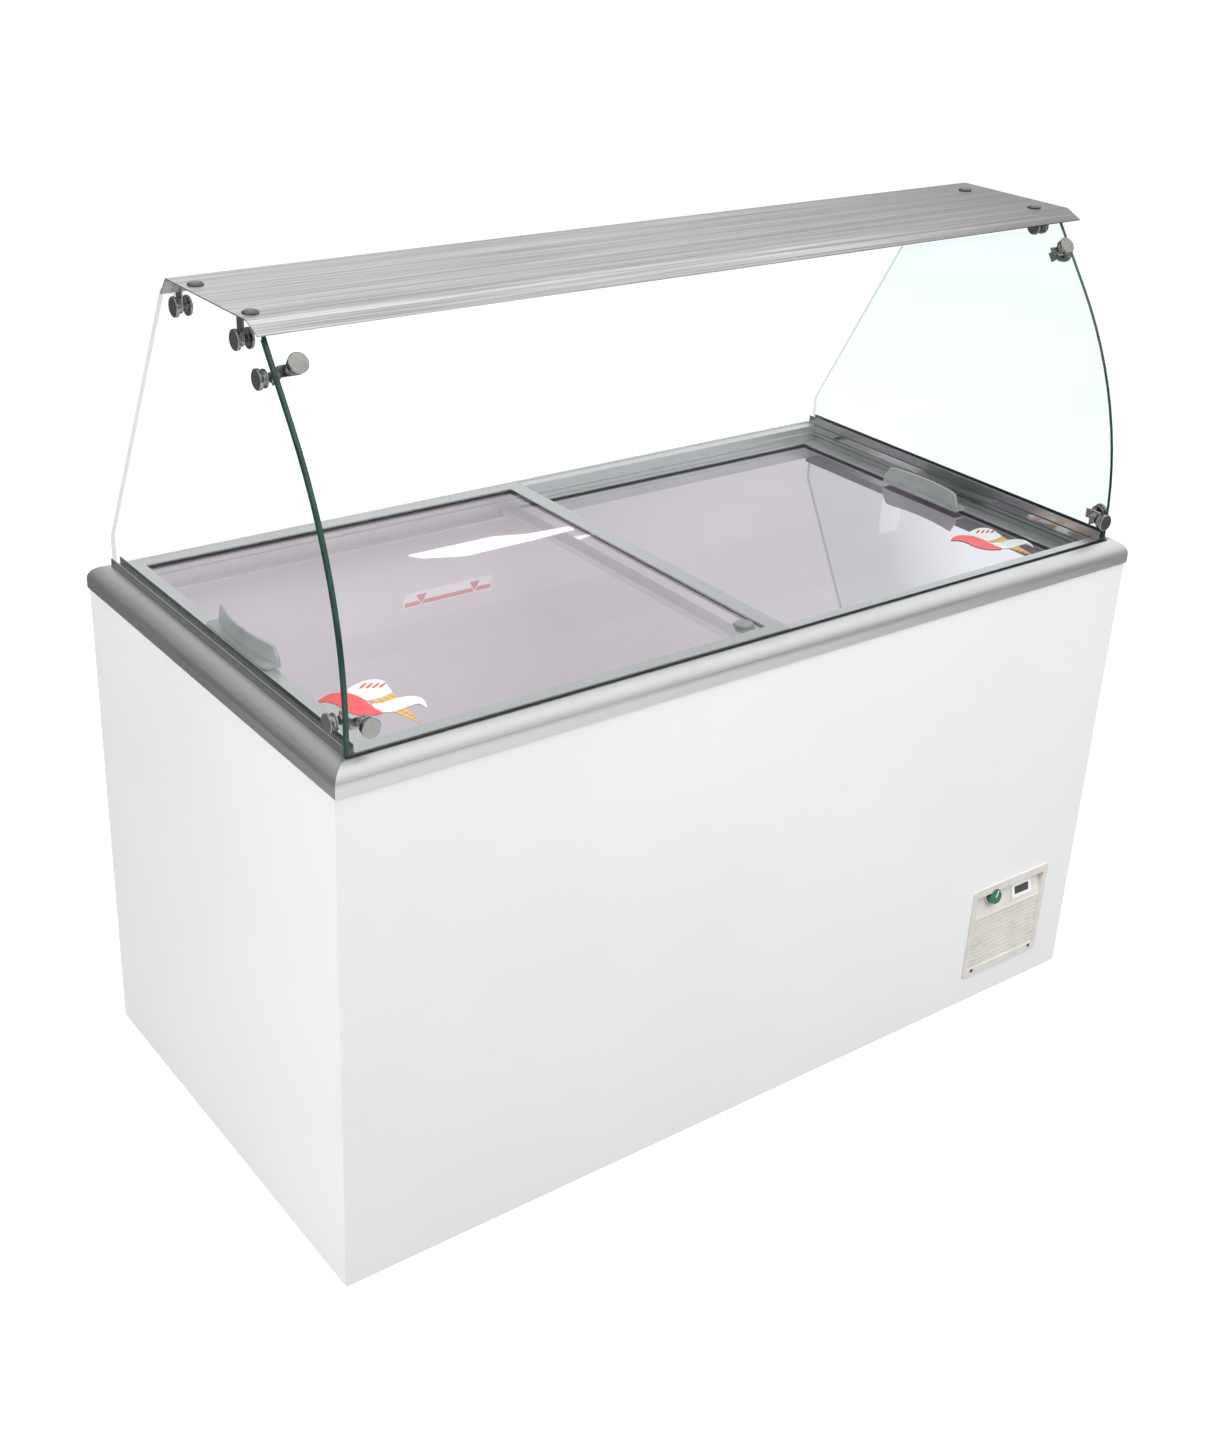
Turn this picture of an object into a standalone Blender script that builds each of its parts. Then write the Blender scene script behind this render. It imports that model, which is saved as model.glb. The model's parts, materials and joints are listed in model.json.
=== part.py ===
"""Ice-cream display chest freezer with two sliding glass lids and a curved glass canopy.

Frame: metres, +Z up, origin on the floor under the centre of the cabinet.
+X runs along the cabinet to the right as the customer faces it, and the customer stands at -Y.
"""

import math

import bmesh
import bpy
from mathutils import Matrix, Vector

# ---- driving dimensions -------------------------------------------------------------------------
BODY_LENGTH = 1.368
BODY_DEPTH = 0.700
HALF_X = BODY_LENGTH / 2
HALF_Y = BODY_DEPTH / 2
SHEET = 0.0008                  # painted steel casing
GAP = 0.0003                    # clearance between neighbouring pieces
SKIRT_Z = 0.003
PANEL_TOP_Z = 0.7350
FOOT_HEIGHT = 0.0042
BASE_Z = 0.0045
BASE_THICKNESS = 0.0015

# rim extrusion, mitred at the four corners: heights and insets from the body's faces
RIM_BOTTOM_Z = 0.732
RIM_OVERHANG = 0.0025
RIM_CURVE_Z = 0.745
RIM_TOP_Z = 0.768
RIM_CURVE_INSET = 0.0275
RIM_STEP_INSET = 0.0240         # where the crown steps down to the upper lid's ledge
UPPER_LEDGE_Z = 0.7660
UPPER_WALL_INSET = 0.0410
LOWER_WALL_INSET = 0.0455
LOWER_LEDGE_Z = 0.7310
LOWER_LEDGE_INSET = 0.0620
MITRE_GAP = 0.00025

# tank
TANK_X = 0.624
TANK_Y = 0.290
TANK_FLOOR_Z = 0.085
TANK_TOP_Z = 0.7272
STEP_X = 0.333                  # left face of the step over the compressor
STEP_Z = 0.352
TANK_CORNER = 0.012
LINER = 0.0012
BAY_X = 0.385                   # compressor bay: left wall and ceiling
BAY_Z = 0.300

# canopy glass
GLASS = 0.006
FRONT_GLASS_Y = -0.332          # outer face where it stands on the rim
FRONT_GLASS_HALF_X = 0.660
FRONT_GLASS_FOOT_Z = 0.7683
BEND_START_Z = 0.790
BEND_RADIUS = 0.580
BEND_ANGLE = math.radians(36)
FRONT_GLASS_TOP_Z = 1.2118
SIDE_GLASS_OUTER_X = 0.6580
CHANNEL_OUTER_X = 0.6597
CHANNEL_INNER_X = 0.6455
CHANNEL_HALF_Y = 0.3252
CHANNEL_TOP_Z = 0.7795
CHANNEL_WALL = 0.0012

# canopy shelf, a sheet with a sloping lip along each long edge
SHELF_HALF_X = 0.6725
SHELF_SHEET = 0.0015
SHELF_TOP_Z = 1.2309
SHELF_FRONT_Y = -0.1493
SHELF_REAR_Y = 0.0575
SHELF_FRONT_LIP = (-0.1755, 1.2190)
SHELF_REAR_LIP = (0.0745, 1.2090)

# canopy fittings
DISC_RADIUS = 0.0125
DISC_NECK_RADIUS = 0.0085
DISC_STAND_OFF = 0.0112         # from a glass's outer face to a disc's outer face
DISC_CAP = 0.0045
POST_RADIUS = 0.0040
POST_HOLE_RADIUS = 0.0046
STRAP = 0.0020
HANGER_Y = {"front": -0.1100, "rear": 0.0485}
HANGER_Z = 1.1980
HANGER_WIDTH = 0.015
CAP_X = {"left": 0.6545, "right": 0.6260}
CAP_Y = {"front": -0.1250, "rear": 0.0140}
CAP_SHANK_RADIUS = 0.0030
CAP_HOLE_RADIUS = 0.0034
CONNECTOR_Z = {"top": 1.1825, "bottom": 0.803}
CONNECTOR_SIDE_POST = 0.022     # from the front glass's inner face
CONNECTOR_FRONT_POST = 0.020    # from the side glass's inner face
CONNECTOR_WIDTH = 0.014
STAND_OFF = 0.005

# lids
LID_GLASS = 0.004
FLANGE = 0.0016
GLASS_DROP = 0.0047             # from a lid's top face to its glass
LID_DEPTH = 0.0105              # from a lid's top face to its underside
LEFT_LID = {"x0": -0.6440, "x1": 0.0200, "y": 0.3250, "top": 0.7680,
            "bar_left": 0.0260, "bar_right": 0.0260, "bar_y": 0.0205,
            "web_left": 0.0015, "web_right": 0.0010, "web_y": 0.0165}
RIGHT_LID = {"x0": -0.0260, "x1": 0.6380, "y": 0.3040, "top": 0.7415,
             "bar_left": 0.0260, "bar_right": 0.0270, "bar_y": 0.0064,
             "web_left": 0.0010, "web_right": 0.0010, "web_y": 0.0010}
WEB = 0.0020
LID_LIP = 0.0060
HANDLE_HALF_LENGTH = 0.083
HANDLE_BASE_WIDTH = 0.026
HANDLE_BASE_THICKNESS = 0.003
HANDLE_HEIGHT = 0.028
HANDLE_BOW = 0.012
HANDLE_BLADE = 0.004
LEFT_HANDLE_INNER_X = -0.6105
RIGHT_HANDLE_INNER_X = 0.5930
LOCK_X, LOCK_Y = -0.0240, -0.2810
LOCK_RADIUS = 0.0130

# control panel on the front face
PANEL_X0, PANEL_X1 = 0.453, 0.625
PANEL_Z0, PANEL_Z1 = 0.050, 0.215
PANEL_FRONT_Y = -0.3522
CUTOUT_X0, CUTOUT_X1 = 0.4585, 0.6195
CUTOUT_Z0, CUTOUT_Z1 = 0.0555, 0.2095
CONTROL_Z0, CONTROL_Z1 = 0.1595, 0.2010
CONTROL_Y0, CONTROL_Y1 = -0.3495, -0.3400
CONTROL_TILT = math.atan2(CONTROL_Y1 - CONTROL_Y0, CONTROL_Z1 - CONTROL_Z0)
SLOT_COUNT = 12
SLOT_PITCH = 0.0077
SLOT_FIRST_Z = 0.0695
KNOB_X, KNOB_Z = 0.503, 0.190
KNOB_RADIUS = 0.0125
KNOB_HEIGHT = 0.0125                # its front stands a little proud of the panel
THERMOMETER_X, THERMOMETER_Z = 0.573, 0.181

# compressor bay
COMPRESSOR_X, COMPRESSOR_Y = 0.530, 0.090
FAN_X, FAN_Z = 0.520, 0.110
FAN_RADIUS = 0.065
GLAND_X, GLAND_Z = 0.640, 0.070


# ---- materials ----------------------------------------------------------------------------------
def material(name, colour, roughness, metallic=0.0, transmission=0.0):
    m = bpy.data.materials.new(name)
    m.use_nodes = True
    shader = m.node_tree.nodes["Principled BSDF"]
    shader.inputs["Base Color"].default_value = (*colour, 1.0)
    shader.inputs["Roughness"].default_value = roughness
    shader.inputs["Metallic"].default_value = metallic
    shader.inputs["Transmission Weight"].default_value = transmission
    return m


def make_materials():
    return {
        "white_steel": material("white_steel", (0.84, 0.85, 0.85), 0.35),
        "aluminium": material("aluminium", (0.62, 0.62, 0.61), 0.32, 1.0),
        "stainless": material("stainless", (0.55, 0.53, 0.53), 0.30, 1.0),
        "chrome": material("chrome", (0.60, 0.60, 0.60), 0.12, 1.0),
        "glass": material("glass", (0.88, 0.97, 0.96), 0.02, 0.0, 0.9),
        "liner_white": material("liner_white", (0.85, 0.83, 0.86), 0.45),
        "foam": material("foam", (0.85, 0.76, 0.50), 0.90),
        "zinc_steel": material("zinc_steel", (0.55, 0.56, 0.57), 0.45, 0.9),
        "grey_plastic": material("grey_plastic", (0.55, 0.55, 0.55), 0.35),
        "cream_plastic": material("cream_plastic", (0.80, 0.78, 0.74), 0.45),
        "green_plastic": material("green_plastic", (0.00, 0.20, 0.09), 0.25),
        "black_paint": material("black_paint", (0.02, 0.02, 0.02), 0.35),
        "black_rubber": material("black_rubber", (0.02, 0.02, 0.02), 0.70),
    }


# ---- mesh helpers -------------------------------------------------------------------------------
def add_object(name, bm, mat, smooth_angle=None):
    """A named object from a bmesh whose faces are turned outwards."""
    bmesh.ops.recalc_face_normals(bm, faces=bm.faces)
    mesh = bpy.data.meshes.new(name)
    bm.to_mesh(mesh)
    bm.free()
    mesh.materials.append(mat)
    obj = bpy.data.objects.new(name, mesh)
    bpy.context.scene.collection.objects.link(obj)
    if smooth_angle:
        mesh.shade_smooth()
        mesh.set_sharp_from_angle(angle=math.radians(smooth_angle))
    return obj


def add_box(bm, low, high):
    size = [b - a for a, b in zip(low, high)]
    centre = [(a + b) / 2 for a, b in zip(low, high)]
    made = bmesh.ops.create_cube(bm, size=1.0)
    bmesh.ops.scale(bm, vec=size, verts=made["verts"])
    bmesh.ops.translate(bm, vec=centre, verts=made["verts"])
    return made["verts"]


def box(name, low, high, mat):
    bm = bmesh.new()
    add_box(bm, low, high)
    return add_object(name, bm, mat)


def add_prism(bm, outline, along, start, end):
    """Extrude a closed 2-D outline. along 'x' reads it as (y, z), 'y' as (x, z), 'z' as (x, y)."""
    place = {
        "x": lambda p, t: (t, p[0], p[1]),
        "y": lambda p, t: (p[0], t, p[1]),
        "z": lambda p, t: (p[0], p[1], t),
    }[along]
    rings = [[bm.verts.new(place(p, t)) for p in outline] for t in (start, end)]
    count = len(outline)
    for i in range(count):
        j = (i + 1) % count
        bm.faces.new((rings[0][i], rings[0][j], rings[1][j], rings[1][i]))
    bm.faces.new(rings[0][::-1])
    bm.faces.new(rings[1])
    return rings[0] + rings[1]


def prism(name, outline, along, start, end, mat, smooth_angle=None):
    bm = bmesh.new()
    add_prism(bm, outline, along, start, end)
    return add_object(name, bm, mat, smooth_angle)


def revolve(name, profile, segments, mat, matrix=Matrix.Identity(4), smooth_angle=35):
    """Turn a profile of (radius, height) about +Z. Points of radius 0 close the solid at its ends."""
    bm = bmesh.new()
    rings = []
    for radius, height in profile:
        if radius == 0:
            rings.append([bm.verts.new((0, 0, height))])
            continue
        ring = []
        for k in range(segments):
            turn = 2 * math.pi * k / segments
            ring.append(bm.verts.new((radius * math.cos(turn), radius * math.sin(turn), height)))
        rings.append(ring)
    closed = profile[0][0] != 0
    pairs = list(zip(rings, rings[1:])) + ([(rings[-1], rings[0])] if closed else [])
    for a, b in pairs:
        for k in range(segments):
            n = (k + 1) % segments
            corners = [a[k % len(a)], a[n % len(a)], b[n % len(b)], b[k % len(b)]]
            unique = list(dict.fromkeys(corners))
            bm.faces.new(unique)
    bm.transform(matrix)
    return add_object(name, bm, mat, smooth_angle)


def combine(target, tools, operation):
    """Apply Booleans of the given kind and remove the tools."""
    for tool in tools:
        modifier = target.modifiers.new(operation.lower(), "BOOLEAN")
        modifier.operation = operation
        modifier.solver = "EXACT"
        modifier.object = tool
    bpy.context.view_layer.update()
    depsgraph = bpy.context.evaluated_depsgraph_get()
    mesh = bpy.data.meshes.new_from_object(target.evaluated_get(depsgraph))
    mesh.name = target.name
    target.modifiers.clear()
    old = target.data
    target.data = mesh
    bpy.data.meshes.remove(old)
    for tool in tools:
        bpy.data.objects.remove(tool)
    return target


def cut(target, *tools):
    return combine(target, tools, "DIFFERENCE")


def fuse(target, *tools):
    return combine(target, tools, "UNION")


def set_origin(obj, point):
    """Move an object's origin to a point while its shape stays where it is."""
    obj.data.transform(Matrix.Translation(-Vector(point)))
    obj.location = point


def thick_strip(points, thickness):
    """A closed outline: an open line of 2-D points and its copy offset to the right of travel."""
    offset = []
    for i, p in enumerate(points):
        before = points[max(i - 1, 0)]
        after = points[min(i + 1, len(points) - 1)]
        normals = []
        for a, b in ((before, p), (p, after)):
            dx, dy = b[0] - a[0], b[1] - a[1]
            length = math.hypot(dx, dy)
            if length > 0:
                normals.append((dy / length, -dx / length))
        nx = sum(n[0] for n in normals) / len(normals)
        ny = sum(n[1] for n in normals) / len(normals)
        scale = thickness / (nx * nx + ny * ny)
        offset.append((p[0] + nx * scale, p[1] + ny * scale))
    return list(points) + offset[::-1]


def mirrored(outline, side):
    """Mirror an outline's first coordinate for the left side (side = -1)."""
    return [(side * a, b) for a, b in outline]


# ---- cabinet ------------------------------------------------------------------------------------
def make_casing(mats):
    white = mats["white_steel"]
    lip = 0.012                 # inward turn along the bottom edge

    def side_outline(half, sign):
        outer = sign * half
        inner = sign * (half - SHEET)
        turn = sign * (half - lip)
        return [(outer, SKIRT_Z), (outer, PANEL_TOP_Z), (inner, PANEL_TOP_Z),
                (inner, SKIRT_Z + SHEET), (turn, SKIRT_Z + SHEET), (turn, SKIRT_Z)]

    def corner_notches(clear_x, clear_y):
        """Boxes that clear the inward turn beyond the given distances from the middle."""
        return [box("cutter", (min(sx * clear_x[0], sx * clear_x[1]), min(sy * clear_y[0], sy * clear_y[1]), 0),
                    (max(sx * clear_x[0], sx * clear_x[1]), max(sy * clear_y[0], sy * clear_y[1]), 0.010), white)
                for sx in (-1, 1) for sy in (-1, 1)]

    sheet_x, sheet_y = HALF_X - SHEET, HALF_Y - SHEET
    casing = {}
    for label, sign in (("front", -1), ("back", 1)):
        panel = prism(f"{label}_panel", side_outline(HALF_Y, sign), "x", -HALF_X, HALF_X, white)
        casing[label] = cut(panel, *corner_notches((sheet_x - GAP, HALF_X + 0.01), (0.30, sheet_y)))
    for label, sign in (("left", -1), ("right", 1)):
        panel = prism(f"{label}_panel", side_outline(HALF_X, sign), "y", -sheet_y + GAP, sheet_y - GAP, white)
        cut(panel, *corner_notches((0.60, sheet_x), (HALF_Y - lip - GAP, HALF_Y)))

    cut(casing["front"], box("cutter", (CUTOUT_X0, -0.40, CUTOUT_Z0), (CUTOUT_X1, -0.30, CUTOUT_Z1), white))

    vents = bmesh.new()
    for k in range(8):
        z = 0.120 + 0.016 * k
        add_box(vents, (0.430, 0.30, z), (0.600, 0.40, z + 0.006))
    gland_hole = revolve("cutter", [(0, -0.02), (0.010, -0.02), (0.010, 0.02), (0, 0.02)], 20, white,
                         Matrix.Translation((GLAND_X, HALF_Y, GLAND_Z)) @ Matrix.Rotation(math.pi / 2, 4, "X"))
    cut(casing["back"], add_object("cutter", vents, white), gland_hole)

    neck = 0.0096
    revolve("cord_gland",
            [(0.004, -0.0048), (0.0130, -0.0048), (0.0130, -0.0011), (neck, -0.0011),
             (neck, 0.0003), (0.0140, 0.0003), (0.0125, 0.0021), (0.004, 0.0021)], 20,
            mats["black_rubber"],
            Matrix.Translation((GLAND_X, HALF_Y, GLAND_Z)) @ Matrix.Rotation(-math.pi / 2, 4, "X"))


def make_base(mats):
    box("base_pan", (-HALF_X + 0.0014, -HALF_Y + 0.0014, BASE_Z),
        (HALF_X - 0.0014, HALF_Y - 0.0014, BASE_Z + BASE_THICKNESS), mats["zinc_steel"])
    for side, x in (("left", -0.60), ("right", 0.60)):
        for end, y in (("front", -0.28), ("rear", 0.28)):
            revolve(f"foot_{end}_{side}",
                    [(0, 0), (0.0235, 0), (0.025, 0.001), (0.025, FOOT_HEIGHT), (0, FOOT_HEIGHT)], 20,
                    mats["black_rubber"], Matrix.Translation((x, y, 0)))


def tank_outline(grow, top):
    """The tank seen from the front, with the step over the compressor bay at its right end."""
    radius = TANK_CORNER - grow
    nose = [(STEP_X + TANK_CORNER - radius * math.cos(math.radians(30 * k)),
             STEP_Z - TANK_CORNER + radius * math.sin(math.radians(30 * k))) for k in range(4)]
    return [(-TANK_X - grow, TANK_FLOOR_Z - grow), (STEP_X + grow, TANK_FLOOR_Z - grow), *nose,
            (TANK_X + grow, STEP_Z - grow), (TANK_X + grow, top), (-TANK_X - grow, top)]


def make_insulation(mats):
    foam = box("insulation_foam", (-HALF_X + 0.0012, -HALF_Y + 0.0012, BASE_Z + BASE_THICKNESS + 0.0005),
               (HALF_X - 0.0012, HALF_Y - 0.0012, TANK_TOP_Z - 0.0015), mats["foam"])
    grow = LINER + GAP
    cavity = prism("cutter", tank_outline(grow, 0.80), "y", -TANK_Y - grow, TANK_Y + grow, mats["foam"])
    bay = box("cutter", (BAY_X, -0.40, -0.10), (0.80, 0.40, BAY_Z), mats["foam"])
    cut(foam, cavity, bay)


def make_liner(mats):
    """One formed tub: walls, floor and step with rounded corners, and a flange under the rim."""
    flange = 0.010
    bm = bmesh.new()
    add_prism(bm, tank_outline(0, TANK_TOP_Z), "y", -TANK_Y, TANK_Y)
    bmesh.ops.recalc_face_normals(bm, faces=bm.faces)
    lid = [f for f in bm.faces if all(abs(v.co.z - TANK_TOP_Z) < 1e-6 for v in f.verts)]
    bmesh.ops.delete(bm, geom=lid, context="FACES_ONLY")
    corners = [e for e in bm.edges if not e.is_boundary and (e.calc_face_angle_signed() > math.radians(40))]
    bmesh.ops.bevel(bm, geom=corners, offset=TANK_CORNER, segments=2, affect="EDGES", profile=0.5)
    rim_edges = [e for e in bm.edges if e.is_boundary]
    grown = bmesh.ops.extrude_edge_only(bm, edges=rim_edges)
    for v in [g for g in grown["geom"] if isinstance(g, bmesh.types.BMVert)]:
        v.co.x *= (TANK_X + flange) / TANK_X
        v.co.y *= (TANK_Y + flange) / TANK_Y
    mesh = bpy.data.meshes.new("tank_liner")
    bm.to_mesh(mesh)
    bm.free()
    mesh.materials.append(mats["liner_white"])
    liner = bpy.data.objects.new("tank_liner", mesh)
    bpy.context.scene.collection.objects.link(liner)
    wall = liner.modifiers.new("sheet", "SOLIDIFY")
    wall.thickness = LINER
    wall.offset = 1.0
    wall.use_even_offset = True
    mesh.shade_smooth()
    mesh.set_sharp_from_angle(angle=math.radians(50))


# ---- rim ----------------------------------------------------------------------------------------
def rim_profile():
    """Section of the rim: (overhang, z), the overhang measured outwards from the body's face."""
    reach_out = RIM_OVERHANG + RIM_CURVE_INSET
    reach_up = RIM_TOP_Z - RIM_CURVE_Z
    last = math.acos((RIM_CURVE_INSET - RIM_STEP_INSET) / reach_out)
    steps = 10
    curve = [(-RIM_CURVE_INSET + reach_out * math.cos(last * k / steps),
              RIM_CURVE_Z + reach_up * math.sin(last * k / steps)) for k in range(steps + 1)]
    bead_top, bead_bottom, groove_bottom = 0.7545, 0.7500, 0.7488
    skin = 0.0004               # inner face of the lip that laps over the casing
    return ([(RIM_OVERHANG, RIM_BOTTOM_Z)] + curve + [
        (-RIM_STEP_INSET - 0.0003, UPPER_LEDGE_Z),
        (-UPPER_WALL_INSET, UPPER_LEDGE_Z),
        (-UPPER_WALL_INSET, bead_top),
        (-UPPER_WALL_INSET - 0.0025, bead_top),
        (-UPPER_WALL_INSET - 0.0025, bead_bottom),
        (-UPPER_WALL_INSET - 0.0010, bead_bottom),
        (-UPPER_WALL_INSET - 0.0010, groove_bottom),
        (-LOWER_WALL_INSET, groove_bottom),
        (-LOWER_WALL_INSET, LOWER_LEDGE_Z),
        (-LOWER_LEDGE_INSET, LOWER_LEDGE_Z),
        (-LOWER_LEDGE_INSET, LOWER_LEDGE_Z - 0.003),
        (-0.0400, LOWER_LEDGE_Z - 0.003),
        (-0.0400, PANEL_TOP_Z + 0.0005),
        (skin, PANEL_TOP_Z + 0.0005),
        (skin, RIM_BOTTOM_Z)])


def make_rim(mats):
    profile = rim_profile()
    sides = {
        "rim_front": (HALF_X, lambda s, t: (t, -HALF_Y - s)),
        "rim_rear": (HALF_X, lambda s, t: (t, HALF_Y + s)),
        "rim_left": (HALF_Y, lambda s, t: (-HALF_X - s, t)),
        "rim_right": (HALF_Y, lambda s, t: (HALF_X + s, t)),
    }
    for name, (half, place) in sides.items():
        bm = bmesh.new()
        ends = []
        for sign in (-1, 1):
            ends.append([bm.verts.new((*place(s, sign * (half + s - MITRE_GAP)), z)) for s, z in profile])
        count = len(profile)
        for i in range(count):
            j = (i + 1) % count
            bm.faces.new((ends[0][i], ends[0][j], ends[1][j], ends[1][i]))
        bm.faces.new(ends[0][::-1])
        bm.faces.new(ends[1])
        add_object(name, bm, mats["aluminium"], 20)


# ---- canopy -------------------------------------------------------------------------------------
def front_glass_line():
    """Outer face of the front glass in (y, z): upright foot, bend, then a straight lean to the top."""
    centre_y = FRONT_GLASS_Y + BEND_RADIUS
    steps = 12
    bend = [(centre_y - BEND_RADIUS * math.cos(BEND_ANGLE * k / steps),
             BEND_START_Z + BEND_RADIUS * math.sin(BEND_ANGLE * k / steps)) for k in range(steps + 1)]
    end_y, end_z = bend[-1]
    top_y = end_y + (FRONT_GLASS_TOP_Z - end_z) * math.tan(BEND_ANGLE)
    return [(FRONT_GLASS_Y, FRONT_GLASS_FOOT_Z)] + bend + [(top_y, FRONT_GLASS_TOP_Z)]


def front_glass_point(z):
    """Outer-face y at a height, and the glass's lean from upright there."""
    if z <= BEND_START_Z:
        return FRONT_GLASS_Y, 0.0
    lean = math.asin(min((z - BEND_START_Z) / BEND_RADIUS, math.sin(BEND_ANGLE)))
    y = FRONT_GLASS_Y + BEND_RADIUS * (1 - math.cos(lean))
    above = z - BEND_START_Z - BEND_RADIUS * math.sin(lean)
    return y + max(above, 0) * math.tan(lean), lean


def side_glass_outline():
    """Side glass in (y, z). Its front edge follows the inner face of the front glass."""
    strip = thick_strip(front_glass_line(), GLASS + GAP)
    inner = strip[len(strip) // 2:]                     # top to bottom
    lip_y = SHELF_FRONT_Y + 0.0035
    top_z = SHELF_TOP_Z - SHELF_SHEET - STRAP - 0.0012
    front = [p for p in inner if p[1] > CHANNEL_TOP_Z]
    foot_z = UPPER_LEDGE_Z + 0.0045
    rear_y = CHANNEL_HALF_Y - 0.0006
    return ([(lip_y, top_z)] + front + [(FRONT_GLASS_Y + GLASS + GAP + 0.0002, foot_z),
            (rear_y, foot_z), (rear_y, 0.812), (0.1074, 1.2055), (0.0690, 1.2055),
            (SHELF_REAR_Y - 0.0030, top_z)])


def connector_frame(level, side):
    """Axes of a corner connector: origin where the two glasses' inner faces meet, +X towards the
    middle of the canopy, +Y into the canopy square to the front glass, +Z up along it."""
    y, lean = front_glass_point(CONNECTOR_Z[level])
    inward = Vector((0, math.cos(lean), -math.sin(lean)))
    up = Vector((0, math.sin(lean), math.cos(lean)))
    origin = Vector((0, y, CONNECTOR_Z[level])) + GLASS * inward
    origin.x = side * (SIDE_GLASS_OUTER_X - GLASS)
    across = Vector((-side, 0, 0))
    frame = Matrix((across, inward, up)).transposed().to_4x4()
    return Matrix.Translation(origin) @ frame


def along_axis(direction, at):
    """A matrix that carries local +Z to a direction and the origin to a point."""
    turn = Vector((0, 0, 1)).rotation_difference(Vector(direction)).to_matrix().to_4x4()
    return Matrix.Translation(at) @ turn


def cylinder(name, radius, low, high, matrix, mat, segments=20):
    return revolve(name, [(0, low), (radius, low), (radius, high), (0, high)], segments, mat, matrix)


def post_places():
    """Where each clamp's post crosses a glass: outer-face point and outward direction, by name."""
    places = {}
    for side, label in ((-1, "left"), (1, "right")):
        for end, y in HANGER_Y.items():
            places[f"hanger_disc_{end}_{label}"] = (
                "side", label, Vector((side * SIDE_GLASS_OUTER_X, y, HANGER_Z)), Vector((side, 0, 0)))
        for level in CONNECTOR_Z:
            frame = connector_frame(level, side)
            side_post = frame @ Vector((-GLASS, CONNECTOR_SIDE_POST, 0))
            places[f"side_disc_{level}_{label}"] = ("side", label, side_post, Vector((side, 0, 0)))
            front_post = frame @ Vector((CONNECTOR_FRONT_POST, -GLASS, 0))
            outward = -(frame.to_3x3() @ Vector((0, 1, 0)))
            places[f"front_disc_{level}_{label}"] = ("front", label, front_post, outward)
    return places


def make_glasses(mats, places):
    glass = mats["glass"]
    front = prism("front_glass", thick_strip(front_glass_line(), GLASS), "x",
                  -FRONT_GLASS_HALF_X, FRONT_GLASS_HALF_X, glass, 20)
    panes = {"front": front}
    for side, label in ((-1, "left"), (1, "right")):
        outer = side * SIDE_GLASS_OUTER_X
        inner = side * (SIDE_GLASS_OUTER_X - GLASS)
        panes[label] = prism(f"side_glass_{label}", side_glass_outline(), "x",
                             min(outer, inner), max(outer, inner), glass)
    for key, pane in panes.items():
        drills = []
        for kind, label, point, outward in places.values():
            if key == (kind if kind == "front" else label):
                drills.append(cylinder("cutter", POST_HOLE_RADIUS, -0.02, 0.02,
                                       along_axis(outward, point), glass, 16))
        cut(pane, *drills)


def make_channels(mats):
    floor_z = UPPER_LEDGE_Z + GAP
    for side, label in ((-1, "left"), (1, "right")):
        outline = [(CHANNEL_OUTER_X, floor_z), (CHANNEL_OUTER_X, CHANNEL_TOP_Z),
                   (CHANNEL_OUTER_X - CHANNEL_WALL, CHANNEL_TOP_Z),
                   (CHANNEL_OUTER_X - CHANNEL_WALL, floor_z + 0.003),
                   (CHANNEL_INNER_X + CHANNEL_WALL, floor_z + 0.003),
                   (CHANNEL_INNER_X + CHANNEL_WALL, CHANNEL_TOP_Z),
                   (CHANNEL_INNER_X, CHANNEL_TOP_Z), (CHANNEL_INNER_X, floor_z)]
        prism(f"glass_channel_{label}", mirrored(outline, side), "y",
              -CHANNEL_HALF_Y, CHANNEL_HALF_Y, mats["aluminium"])


def make_shelf(mats):
    line = [SHELF_FRONT_LIP, (SHELF_FRONT_Y, SHELF_TOP_Z), (SHELF_REAR_Y, SHELF_TOP_Z), SHELF_REAR_LIP]
    shelf = prism("canopy_shelf", thick_strip(line, SHELF_SHEET), "x", -SHELF_HALF_X, SHELF_HALF_X,
                  mats["stainless"])
    holes = [cylinder("cutter", CAP_HOLE_RADIUS, -0.01, 0.01,
                      Matrix.Translation((side * CAP_X[label], y, SHELF_TOP_Z)), mats["stainless"], 16)
             for side, label in ((-1, "left"), (1, "right")) for y in CAP_Y.values()]
    cut(shelf, *holes)


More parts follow.
